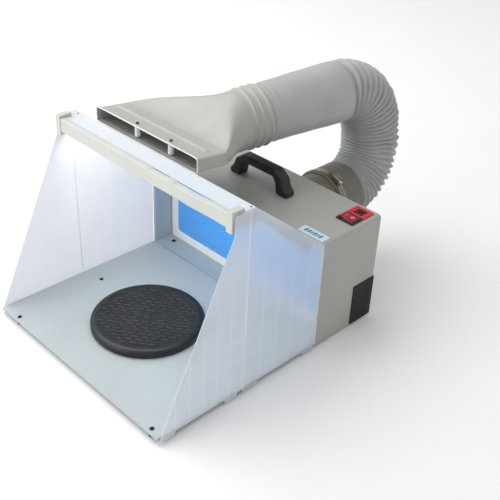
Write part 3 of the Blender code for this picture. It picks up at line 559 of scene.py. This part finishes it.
def nozzle_section(centre, side, half_width, half_height, roundness):
    """A rounded oblong that becomes a circle as roundness goes to 1."""
    points = []
    power = 0.13 + 0.87 * roundness
    for index in range(NOZZLE_SIDES):
        angle = 2 * pi * index / NOZZLE_SIDES
        c, s = cos(angle), sin(angle)
        across = half_width * (abs(c) ** power) * (1 if c >= 0 else -1)
        up = half_height * (abs(s) ** power) * (1 if s >= 0 else -1)
        points.append(centre + side * across + UP * up)
    return points


def flat_rings():
    """The flat mouth, with its thick lip and the raised bead across its top."""
    rings = []
    start = MOUTH.y
    ys = [start + LIP_STEP * step for step in range(LIP_STEPS)]
    ys += [start + 0.0090 + FLAT_STEP * step for step in range(FLAT_STEPS)]
    for y in [y for y in ys if y < FLAT_Y]:
        t = (y - start) / (FLAT_Y - start)
        behind = y - start
        lip = LIP_HEIGHT * (1.0 - ease(unit((behind - LIP_LENGTH) / LIP_SLOPE)))
        lip *= min(1.0, 0.45 + behind / LIP_SLOPE)
        centre = Vector((MOUTH.x, y, MOUTH.z - FLAT_DROP * t))
        half_width = MOUTH_HALF - LIP_HEIGHT + lip
        half_height = FLAT_HALF_HEIGHT + lip
        ring = nozzle_section(centre, RIGHT, half_width, half_height, 0.0)
        rise = bead(BEAD_HEIGHT, BEAD_WIDTH, y - BEAD_Y)
        for point in ring:
            on_top = point.z - centre.z > MOUTH_HALF_HEIGHT * 0.8
            inside = unit((BEAD_HALF - abs(point.x - MOUTH.x)) / 0.0040)
            if on_top and rise:
                point.z += rise * ease(inside)
        rings.append(ring)
    return rings


def fan_rings():
    """The body between the flat mouth and the round neck."""
    rings = []
    flat_end = Vector((MOUTH.x, FLAT_Y, MOUTH.z - FLAT_DROP))
    neck_side = Vector((TUBE_DIRECTION.y, -TUBE_DIRECTION.x, 0))
    for index in range(FAN_RINGS + 1):
        t = index / FAN_RINGS
        centre = flat_end.lerp(NECK, t)
        centre.x = MOUTH.x + (NECK.x - MOUTH.x) * ease(t)
        half_width = MOUTH_HALF - LIP_HEIGHT * (1 - t)
        half_width += (NECK_R - MOUTH_HALF) * ease(t) ** 0.8
        half_height = FLAT_HALF_HEIGHT + (NECK_R - MOUTH_HALF_HEIGHT) * ease(t)
        side = RIGHT.lerp(neck_side, t).normalized()
        roundness = ease(unit((t - 0.25) / 0.70))
        rings.append(nozzle_section(centre, side, half_width, half_height, roundness))
    return rings


def collar_rings():
    """The round collar with its four ribs."""
    rings = []
    for index in range(4, int(NECK_LENGTH / COLLAR_STEP) + 1):
        distance = index * COLLAR_STEP
        rise = sum(bead(RIB_HEIGHT, RIB_WIDTH, distance - rib) for rib in RIBS)
        centre = NECK + TUBE_DIRECTION * distance
        rings.append(round_ring(centre, TUBE_DIRECTION, COLLAR_R + rise, NOZZLE_SIDES))
    return rings


def fishtail_nozzle():
    editor = bmesh.new()
    rings = flat_rings() + fan_rings() + collar_rings()
    skin(editor, in_row(rings))
    made = piece(
        "nozzle_body",
        editor,
        "nozzle_plastic",
        "cabinet",
        smooth=50,
        replaces=["fishtail_nozzle"],
    )
    thicken(made, NOZZLE_WALL)
    mouth_rim()


def mouth_rim():
    """The rolled edge round the mouth, painted paler than the nozzle as a painted highlight."""
    centre = Vector((MOUTH.x, MOUTH.y - 0.0002, MOUTH.z))
    half_width, half_height = MOUTH_HALF - 0.0010, MOUTH_HALF_HEIGHT + 0.0002
    path = nozzle_section(centre, RIGHT, half_width, half_height, 0.0)
    rings = []
    for point in path:
        out = Vector((point.x - centre.x, 0, (point.z - centre.z) * half_width / half_height))
        out = Vector((0, 0, 0)) if out.length < 1e-9 else out.normalized()
        ring = []
        for index in range(RIM_SIDES):
            angle = 2 * pi * index / RIM_SIDES
            ring.append(point + out * cos(angle) * RIM_OUT + BACK * sin(angle) * RIM_ALONG)
        rings.append(ring)
    editor = bmesh.new()
    ring_skin(editor, in_row(rings))
    piece("mouth_rim", editor, "lip_highlight_plastic", "cabinet", 50)


def post_screws():
    """The small dark screws on top of the lip that hold the two spacer posts."""
    for name, x in POST_SCREWS_X.items():
        editor = bmesh.new()
        turned(editor, SCREW_PROFILE, row((x, POST_SCREW_Y, POST_SCREW_Z)), 20)
        piece(f"post_screw_{name}", editor, "black_plastic", "cabinet")


def connector_tube():
    """The smooth sleeve, a little uneven, with a rolled edge over the nozzle's collar."""
    rings = []
    for index in range(TUBE_RINGS + 1):
        t = index / TUBE_RINGS
        distance = TUBE_START + (TUBE_END - TUBE_START) * t
        radius = TUBE_START_R + (TUBE_R - TUBE_START_R) * min(1.0, t / TUBE_FULL_AT)
        radius -= 0.0008 * max(0.0, (t - 0.94) / 0.06)
        radius += bead(0.0005, 0.0024, distance - TUBE_START - 0.0024)
        radius += bead(0.0009, 0.0030, distance - TUBE_START - 0.0130)

        def uneven(angle, t=t):
            return 0.0004 * sin(3 * angle + 4 * t) + 0.0002 * sin(7 * t * pi + 2 * angle)

        centre = NECK + TUBE_DIRECTION * distance
        rings.append(round_ring(centre, TUBE_DIRECTION, radius, TUBE_SIDES, uneven))
    editor = bmesh.new()
    skin(editor, in_row(rings))
    made = piece(
        "tube_sleeve", editor, "tube_plastic", "cabinet", 50, ["connector_tube"]
    )
    thicken(made, TUBE_WALL)


# ---------------------------------------------------------------- hose

HOSE_SIDES = 112
RIDGE_STEPS = 10  # rings to a ridge
RIDGE_HEIGHT = 0.0036
RIDGE_MIDDLE_R = HOSE_R - 0.0026  # halfway between the valleys and the ridges
SLUMP = 0.0012
HOSE_WALL = 0.0009
ROUTE_STEPS = 2000
BEND_REACH = 3  # rings each way over which a bend is measured
CUFF_RINGS = 64
CUFF_ROUND = 0.0016  # the rounding of its front edge
CUFF_WAIST = 0.0007
CUFF_LIP = 0.0007


def hose_point(t):
    finish = NECK + TUBE_DIRECTION * (TUBE_END + 0.0003)
    first = OUTLET + Vector((0, 1, 0.03)).normalized() * HOSE_HANDLE
    second = finish + TUBE_DIRECTION * HOSE_HANDLE
    point = OUTLET * (1 - t) ** 3
    point += first * 3 * t * (1 - t) ** 2
    point += second * 3 * t * t * (1 - t)
    return point + finish * t**3


def even_route(count):
    """Points and directions at even distances along the hose, from the outlet to the tube."""
    fine = [hose_point(index / ROUTE_STEPS) for index in range(ROUTE_STEPS + 1)]
    travelled = [0.0]
    for before, after in zip(fine, fine[1:]):
        travelled.append(travelled[-1] + (after - before).length)
    points = []
    place = 0
    for index in range(count + 1):
        wanted = travelled[-1] * index / count
        while place < len(fine) - 2 and travelled[place + 1] < wanted:
            place += 1
        share = (wanted - travelled[place]) / (travelled[place + 1] - travelled[place])
        points.append(fine[place].lerp(fine[place + 1], share))
    directions = [BACK.copy()]
    for before, after in zip(points, points[2:]):
        directions.append((after - before).normalized())
    directions.append(-TUBE_DIRECTION)
    return points, directions, travelled[-1]


def hose_bends(directions, length):
    """The bend at each point, as a vector towards the inside of the turn, in 1/metres."""
    step = length / (len(directions) - 1)
    last = len(directions) - 1
    bends = []
    for index in range(len(directions)):
        first, final = max(0, index - BEND_REACH), min(last, index + BEND_REACH)
        bends.append((directions[final] - directions[first]) / (step * (final - first)))
    return bends


def crumple(angle, t):
    """How far the ridges wander, which is most near the outlet, where the hose was squeezed."""
    squeezed = ease(max(0.0, 1.0 - abs(t - 0.36) / 0.34))
    wander = sin(2 * angle + 9.0 * t) + 0.6 * sin(5 * angle - 23.0 * t)
    return (0.05 + 0.26 * squeezed) * wander


def ridge_shape(phase):
    """-1 in a valley and 1 on a ridge, with narrow valleys."""
    wave = 0.5 + 0.5 * cos(2 * pi * phase)
    return 2 * wave**0.75 - 1


def duct_hose():
    """The corrugated hose: ridges crowd inside the bend and spread outside it."""
    count = HOSE_RIDGES * RIDGE_STEPS
    points, directions, length = even_route(count)
    bends = hose_bends(directions, length)
    chance = random.Random(7)
    heights = [chance.uniform(0.75, 1.15) for _ in range(HOSE_RIDGES + 2)]
    side = RIGHT.copy()
    rings = []
    for index, (centre, along) in enumerate(zip(points, directions)):
        t = index / count
        side = (side - along * side.dot(along)).normalized()
        up = side.cross(along)
        at_end = min(1.0, min(t, 1 - t) * count / (RIDGE_STEPS * 0.5))
        ring = []
        for step in range(HOSE_SIDES):
            angle = 2 * pi * step / HOSE_SIDES
            out = side * cos(angle) + up * sin(angle)
            spread = 1.0 - HOSE_R * bends[index].dot(out)
            amplitude = RIDGE_HEIGHT * min(1.0, max(0.16, spread / 1.25))
            place = t * HOSE_RIDGES + crumple(angle, t)
            height = heights[int(min(HOSE_RIDGES, max(0, round(place))))]
            slump = SLUMP * sin(3 * angle + 11 * t) * ease(at_end) * (0.3 + 0.7 * (t < 0.6))
            reach = RIDGE_MIDDLE_R + amplitude * height * ridge_shape(place) * at_end + slump
            ring.append(centre + out * reach)
        rings.append(ring)
    editor = bmesh.new()
    skin(editor, in_row(rings))
    made = piece(
        "hose_ribbed", editor, "hose_plastic", "cabinet", smooth=60, replaces=["duct_hose"]
    )
    thicken(made, HOSE_WALL)


def hose_cuff():
    """The soft dark cuff: a thick front edge, a waist under the clamp and a lip at the hose."""
    rings = []
    length = CUFF_REAR_Y - CUFF_FRONT_Y
    outer = []
    for index in range(CUFF_RINGS):
        distance = length * index / (CUFF_RINGS - 1)
        radius = CUFF_R - 0.0002 - bead(CUFF_WAIST, 0.0090, distance - CLAMP_AT)
        radius -= CUFF_ROUND * max(0.0, 1 - distance / CUFF_ROUND)
        radius += bead(CUFF_LIP, 0.0030, distance - length + 0.0040)
        outer.append((distance, radius))
    inner = [(length, SPIGOT_R + 0.0003), (0.0, SPIGOT_R + 0.0003)]
    for distance, radius in outer + inner:

        def wrinkle(angle, distance=distance, radius=radius):
            if radius < CUFF_R - 0.0025:
                return 0.0
            return 0.00025 * sin(9 * angle + 60 * distance)

        centre = Vector((OUTLET.x, CUFF_FRONT_Y + distance, OUTLET.z))
        rings.append(round_ring(centre, BACK, radius, TUBE_SIDES, wrinkle))
    editor = bmesh.new()
    ring_skin(editor, in_row(rings))
    piece("cuff_soft", editor, "dark_plastic", "cabinet", smooth=50, replaces=["hose_cuff"])


# ---------------------------------------------------------------- turntable

DASH_TURN = 38  # degrees
DASH_PITCH = 0.0170
DASH_SPACING = 0.0082
DASH_HALF_LENGTH = 0.0056
DASH_HALF_WIDTH = 0.0014
DASH_HEIGHT = 0.0012
DASH_Z = 0.0084  # just under the disc's top
DASH_FROM_HUB = 0.0140
DASH_FROM_RIM = 0.0160
DISC_BORE = 0.0034
DISC_STEPS = 128


def dash(editor, centre, along):
    """A raised dash with sloped sides."""
    across = Vector((-along.y, along.x, 0))
    corners = []
    for inset, rise in ((0.0, 0.0), (0.0006, DASH_HEIGHT)):
        for end, side in ((-1, -1), (1, -1), (1, 1), (-1, 1)):
            offset = along * end * (DASH_HALF_LENGTH - inset)
            offset += across * side * (DASH_HALF_WIDTH - inset)
            corners.append(editor.verts.new(centre + offset + UP * rise))
    editor.faces.new(corners[4:])
    for index in range(4):
        following = (index + 1) % 4
        editor.faces.new(
            (corners[index], corners[following], corners[following + 4], corners[index + 4])
        )
    editor.faces.new(corners[3::-1])


def turntable_platter():
    """The disc with its smooth rolled rim, and the woven pattern of dashes on its top."""
    radius = TURNTABLE_R
    centre = row(TURNTABLE) + UP * PLATTER_Z
    profile = [
        (DISC_BORE, 0.0098),
        (0.0060, 0.0098),
        (0.0068, 0.0093),
        (0.0072, 0.0086),
        (radius - 0.0135, 0.0086),
        (radius - 0.0125, 0.0090),
        (radius - 0.0110, 0.0094),
        (radius - 0.0075, 0.0095),
        (radius - 0.0045, 0.0089),
        (radius - 0.0022, 0.0076),
        (radius - 0.0007, 0.0056),
        (radius, 0.0030),
        (radius, -0.0032),
        (radius - 0.0006, -0.0040),
        (radius - 0.0020, -0.0040),
        (radius - 0.0022, 0.0036),
        (radius - 0.0060, 0.0060),
        (DISC_BORE, 0.0060),
    ]
    editor = bmesh.new()
    turned(editor, profile, centre, DISC_STEPS)
    piece(
        "platter_disc",
        editor,
        "black_plastic",
        "turntable",
        smooth=40,
        replaces=["turntable_platter"],
    )
    editor = bmesh.new()
    turn = Matrix.Rotation(radians(DASH_TURN), 3, "Z")
    along = turn @ RIGHT
    reach = radius - DASH_FROM_RIM
    rows = int(reach / DASH_SPACING) + 1
    columns = int(reach / DASH_PITCH) + 2
    for line in range(-rows, rows + 1):
        for column in range(-columns, columns + 1):
            across = (column + 0.5 * (line % 2)) * DASH_PITCH
            offset = Vector((across, line * DASH_SPACING, 0))
            if DASH_FROM_HUB < offset.length < reach:
                dash(editor, centre + turn @ offset + UP * DASH_Z, along)
    # The dashes are painted lighter than the disc as a painted highlight
    piece("platter_weave", editor, "dash_highlight_plastic", "turntable", 20)


# ---------------------------------------------------------------- filter

PAD_EDGE = 0.0100  # how far in from its edge the pad reaches its full thickness
PAD_PINCH = 0.0016
PAD_CROWN = 0.0006
PAD_FUZZ = 0.00028
PAD_CELLS = (150, 66)


def filter_pad():
    """The fibre pad: a soft block that bulges between the frame's edges."""
    low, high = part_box("filter_pad")
    width = high.x - low.x
    height = high.z - low.z
    across, up = PAD_CELLS
    chance = random.Random(3)
    editor = bmesh.new()
    sheets = []
    for depth, bulge in ((low.y, -1), (high.y, 1)):
        grid = []
        for j in range(up + 1):
            line = []
            for i in range(across + 1):
                u, v = i / across, j / up
                fall = min(1.0, min(u, 1 - u) * width / PAD_EDGE)
                fall *= min(1.0, min(v, 1 - v) * height / PAD_EDGE)
                rough = chance.uniform(-PAD_FUZZ, PAD_FUZZ)
                crown = PAD_CROWN * sin(pi * u) * sin(pi * v)
                y = depth - bulge * PAD_PINCH * (1 - ease(fall)) + bulge * crown + rough * fall
                line.append(editor.verts.new((low.x + width * u, y, low.z + height * v)))
            grid.append(line)
        sheets.append(grid)
    for grid in sheets:
        for j in range(up):
            for i in range(across):
                near, far = grid[j], grid[j + 1]
                editor.faces.new((near[i], near[i + 1], far[i + 1], far[i]))
    front, back = sheets
    border = [(0, i) for i in range(across)] + [(j, across) for j in range(up)]
    border += [(up, i) for i in range(across, 0, -1)] + [(j, 0) for j in range(up, 0, -1)]
    for (j, i), (k, m) in zip(border, border[1:] + border[:1]):
        editor.faces.new((front[j][i], front[k][m], back[k][m], back[j][i]))
    bmesh.ops.recalc_face_normals(editor, faces=editor.faces)
    made = piece(
        "filter_fleece", editor, "filter_fibre", "filter", smooth=80, replaces=["filter_pad"]
    )


# ---------------------------------------------------------------- light bar and wings

BAR_LOW = 0.3058
BAR_HIGH = 0.3282
BAR_WALL = 0.0012
BAR_CHAMFER = 0.0016
BAR_TOP_FROM = 0.3200  # the bar's points over this height follow its dips
BAR_STEPS = 200
BAR_SLITS = ((0.026, 0.070), (0.083, 0.162))
BAR_DIP = 0.0018
BAR_DROOP = 0.0012
BAR_WAVE = 0.0014
BAR_ROUNDING = 0.0004
INSIDE_GAP = 0.0003  # between the channel and what it holds
CREASE_Z = (0.0040, 0.0046, STRIP_Z - 0.0008, STRIP_Z - 0.0002)
CREASE_SIDES = 10


def bar_bow(x):
    """The light bar hangs a little between its brackets, and more on the right."""
    share = x / LED_HALF
    droop = BAR_DROOP * share * share
    return droop - BAR_WAVE * ease(unit(share)) * (0.5 + 0.5 * sin(13 * share))


def bar_top_dip(x):
    """The bar's top edge leaves a slit below the hood's strip on the right, in two stretches."""
    dip = 0.0
    for start, end in BAR_SLITS:
        inside = min(x - start, end - x)
        dip = max(dip, ease(unit(inside / 0.004)))
    return BAR_DIP * dip


def bar_piece(name, outline, half, look, node):
    """A closed (y, z) outline run along X on the bar's bow."""
    rings = []
    for index in range(BAR_STEPS + 1):
        x = -half + 2 * half * index / BAR_STEPS
        ring = []
        for y, z in outline:
            drop = bar_top_dip(x) if z > BAR_TOP_FROM else 0.0
            ring.append((x, y, z + bar_bow(x) - drop))
        rings.append(ring)
    editor = bmesh.new()
    skin(editor, in_row(rings), closed_ends=True)
    made = piece(name, editor, look, "hood", 30, [node])
    rounded_edges(made, BAR_ROUNDING)


def upright_box(front, back, low, high):
    """A (y, z) outline."""
    return [(front, low), (front, high), (back, high), (back, low)]


def light_bar():
    front, back = LED_FRONT + BAR_WALL, LED_BACK - BAR_WALL
    top = BAR_HIGH - BAR_WALL
    channel = [
        (LED_FRONT, BAR_LOW),
        (LED_FRONT, BAR_HIGH - BAR_CHAMFER),
        (LED_FRONT + BAR_CHAMFER, BAR_HIGH),
        (LED_BACK, BAR_HIGH),
        (LED_BACK, BAR_LOW),
        (back, BAR_LOW),
        (back, top),
        (front, top),
        (front, BAR_LOW),
    ]
    bar_piece("led_channel", channel, LED_HALF, "cream_plastic", "led_housing")
    front += INSIDE_GAP
    back -= INSIDE_GAP
    lens = upright_box(front, back, BAR_LOW + INSIDE_GAP, BAR_LOW + 0.0020)
    bar_piece("led_lens", lens, LED_HALF - 0.0010, "white_plastic", "led_diffuser")
    tape = upright_box(front, back, top - 0.0020, top - INSIDE_GAP)
    bar_piece("led_tape", tape, LED_HALF - 0.0020, "led_board", "led_strip")


def wing_creases():
    """The living hinge shows as a thin rolled line on the wing's outer face."""
    for side, word in ((-1, "left"), (1, "right")):
        editor = bmesh.new()
        rings = []
        for z in CREASE_Z:
            thin = 0.5 if z in (CREASE_Z[0], CREASE_Z[-1]) else 1.0
            ring = []
            for index in range(CREASE_SIDES):
                angle = 2 * pi * index / CREASE_SIDES
                x = side * (WING_OUTER_X + 0.00025) + 0.0005 * thin * cos(angle)
                ring.append((x, CREASE_Y + 0.0012 + 0.0009 * thin * sin(angle), z))
            rings.append(ring)
        skin(editor, in_row(rings), closed_ends=True)
        piece(f"wing_crease_{word}", editor, "edge_plastic", f"wing_{word}")


# ---------------------------------------------------------------- small marks

MARK_X = 0.0066  # each switch mark, from the key's middle
PRINT_WIDTHS = (0.0045, 0.0045, 0.0030, 0.0045, 0.0030, 0.0045)
PRINT_LENGTH = 0.0090
PRINT_GAP = 0.0022
PRINT_SLANT = -14  # degrees
STUD_PROFILE = [(0.0, 0.0010), (0.0010, 0.0008), (0.0014, 0.0003), (0.0014, 0.0), (0.0, 0.0)]
HOOD_STUDS = {"left": (-0.1985, -0.1605), "right": (0.2045, -0.1585)}


def flat_box(editor, centre, size, turn=0.0):
    matrix = Matrix.Translation(centre) @ Matrix.Rotation(turn, 4, "Z")
    bmesh.ops.create_cube(editor, size=1.0, matrix=matrix @ Matrix.Diagonal((*size, 1)))


def rocker_marks():
    """The usual on and off marks: a bar and a ring, raised on the two halves of the key."""
    low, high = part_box("rocker_key")
    middle = (low + high) / 2
    editor = bmesh.new()
    bar = Vector((middle.x - MARK_X, middle.y, high.z - 0.0020))
    flat_box(editor, bar, (0.0012, 0.0070, 0.0006))
    ring = Vector((middle.x + MARK_X, middle.y, high.z - 0.0013))
    turned(editor, [(0.0022, 0.0), (0.0032, 0.0), (0.0032, 0.0005), (0.0022, 0.0005)], ring, 28)
    piece("rocker_marks", editor, "switch_ink", "rocker")


def plate_marks():
    """A generic pattern of slanted bars where the plate carries print."""
    low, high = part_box("nameplate")
    editor = bmesh.new()
    x = low.x + (high.x - low.x) * 0.16
    for width in PRINT_WIDTHS:
        centre = Vector((x + width / 2, (low.y + high.y) / 2, high.z + 0.00004))
        flat_box(editor, centre, (width, PRINT_LENGTH, 0.0002), radians(PRINT_SLANT))
        x += width + PRINT_GAP
    piece("plate_marks", editor, "plate_ink", "cabinet")


def hood_studs():
    """Dark press studs near the hood's front corners."""
    for word, (x, y) in HOOD_STUDS.items():
        editor = bmesh.new()
        turned(editor, STUD_PROFILE, row((x, y, STRIP_Z - 0.0001)), 18)
        piece(f"hood_stud_{word}", editor, "rubber", "hood")


# ---------------------------------------------------------------- CAD nodes

# Nodes that a copy with rounded edges stands for: its look, and the rounding's width
SOFTENED = (
    ("cabinet_shell", "grey_steel", 0.0005),
    ("rear_panel", "grey_steel", 0.0005),
    ("base_pan", "grey_steel", 0.0004),
    ("front_bezel", "reveal_steel", 0.0004),
    ("tray", "tray_steel", 0.0005),
    ("filter_frame", "white_plastic", 0.0012),
    ("carry_handle", "black_plastic", 0.0036),
    ("rocker_bezel", "black_plastic", 0.0007),
    ("socket_bezel", "red_plastic", 0.0007),
    ("corner_cover", "cover_plastic", 0.0005),
    ("nameplate", "plate_film", 0.0002),
    ("clamp_housing", "clamp_steel", 0.0007),
    ("led_bracket_left", "cream_plastic", 0.0008),
    ("led_bracket_right", "cream_plastic", 0.0008),
    ("motor_bracket", "grey_steel", 0.0003),
)

# Nodes that keep their CAD mesh and get a new material
KEPT = {
    "grey_plastic": ["fan_impeller"],
    "dark_plastic": ["outlet_spigot"],
    "clamp_steel": ["hose_clamp_band"],
    "circuit_board": ["control_board"],
    "white_plastic": ["mouth_post_left", "mouth_post_right"],
    "black_plastic": ["socket_core", "fan_shroud", "turntable_base", "turntable_spindle"],
    "zinc": [
        "handle_screw_left",
        "handle_screw_right",
        "socket_pin",
        "filter_guard",
        "fan_motor",
        "fan_shaft",
        "clamp_screw",
        "turntable_bearing",
    ],
    "rubber": ["ledge_stud_left", "ledge_stud_right", "cover_bumper"]
    + [f"cabinet_foot_{side}_{end}" for side in ("left", "right") for end in ("front", "rear")]
    + [f"tray_foot_{end}_{side}" for side in ("left", "right") for end in ("front", "side")],
    "panel_left": ["wing_panel_left"],
    "panel_right": ["wing_panel_right"],
    "flap_left": ["wing_flap_left"],
    "flap_right": ["wing_flap_right"],
    "hood_plastic": ["hood_panel"],
}


WIDE_ROUNDING = 0.0010


def dress_nodes():
    for node, look, width in SOFTENED:
        segments = 3 if width > WIDE_ROUNDING else 2
        softened(node, look, width, segments)
    softened("rocker_key", "rocker_red", 0.0008, 3)
    for look, names in KEPT.items():
        for name in names:
            materials = NODES[name].data.materials
            materials.clear()
            materials.append(LOOKS[look])


# ---------------------------------------------------------------- surroundings

WORLD_STRENGTH = 0.66
LIT_POINT = (0.0, -0.05, 0.15)
FLOOR_SIZE = 9.0
FLOOR_Z = -0.0002

# Solved from the photo's straight edges. Angles in degrees, lens in millimetres.
CAMERA_TURN = 44.23
CAMERA_TILT = 32.60
CAMERA_ROLL = 2.763
CAMERA_PLACE = (0.90535, -0.87711, 0.90037)
CAMERA_LENS = 61.34
SENSOR_WIDTH = 36.0


def floor():
    editor = bmesh.new()
    bmesh.ops.create_grid(editor, x_segments=1, y_segments=1, size=FLOOR_SIZE)
    mesh = bpy.data.meshes.new("floor")
    editor.to_mesh(mesh)
    editor.free()
    made = bpy.data.objects.new("floor", mesh)
    made.location = (0, 0, FLOOR_Z)
    bpy.context.scene.collection.objects.link(made)
    look = Look("floor_paper", 0.85)
    tooth = look.remap(look.noise(6.0, 2.0), 0.3, 0.7)
    look.set("Base Color", look.mix(tooth, (0.90, 0.90, 0.905), (0.915, 0.915, 0.915)))
    mesh.materials.append(look.material)


def area_light(name, place, target, size, power):
    data = bpy.data.lights.new(name, "AREA")
    data.shape = "SQUARE"
    data.size = size
    data.energy = power
    made = bpy.data.objects.new(name, data)
    made.location = place
    made.rotation_euler = (Vector(target) - Vector(place)).to_track_quat("-Z", "Y").to_euler()
    bpy.context.scene.collection.objects.link(made)
    return made


def studio():
    world = bpy.data.worlds.new("studio")
    world.use_nodes = True
    background = world.node_tree.nodes["Background"]
    background.inputs["Color"].default_value = (1.0, 1.0, 1.0, 1.0)
    background.inputs["Strength"].default_value = WORLD_STRENGTH
    scene = bpy.context.scene
    scene.world = world
    scene.view_settings.view_transform = "Standard"
    area_light("key", (-1.7, -0.5, 2.4), LIT_POINT, 3.0, 64.0)
    area_light("front", (-0.5, -2.6, 1.2), LIT_POINT, 1.8, 20.0)
    under_bar, filter_foot = row((0, -0.1800, 0.2990)), row((0, 0.04, 0.07))
    glow = area_light("light_bar_glow", under_bar, filter_foot, 0.36, 0.40)
    glow.data.shape = "RECTANGLE"
    glow.data.size_y = 0.03
    floor()


def camera():
    turn, tilt, roll = radians(CAMERA_TURN), radians(CAMERA_TILT), radians(CAMERA_ROLL)
    back = Vector((sin(turn) * cos(tilt), -cos(turn) * cos(tilt), sin(tilt)))
    across = UP.cross(back).normalized()
    above = back.cross(across)
    right = across * cos(roll) + above * sin(roll)
    top = above * cos(roll) - across * sin(roll)
    place = row(CAMERA_PLACE)
    data = bpy.data.cameras.new("camera")
    data.sensor_width = SENSOR_WIDTH
    data.lens = CAMERA_LENS
    made = bpy.data.objects.new("camera", data)
    made.matrix_world = Matrix(
        (
            (right.x, top.x, back.x, place.x),
            (right.y, top.y, back.y, place.y),
            (right.z, top.z, back.z, place.z),
            (0, 0, 0, 1),
        )
    )
    bpy.context.scene.collection.objects.link(made)
    bpy.context.scene.camera = made


camera()
dress_nodes()
fishtail_nozzle()
post_screws()
connector_tube()
duct_hose()
hose_cuff()
turntable_platter()
filter_pad()
light_bar()
wing_creases()
rocker_marks()
plate_marks()
hood_studs()
studio()
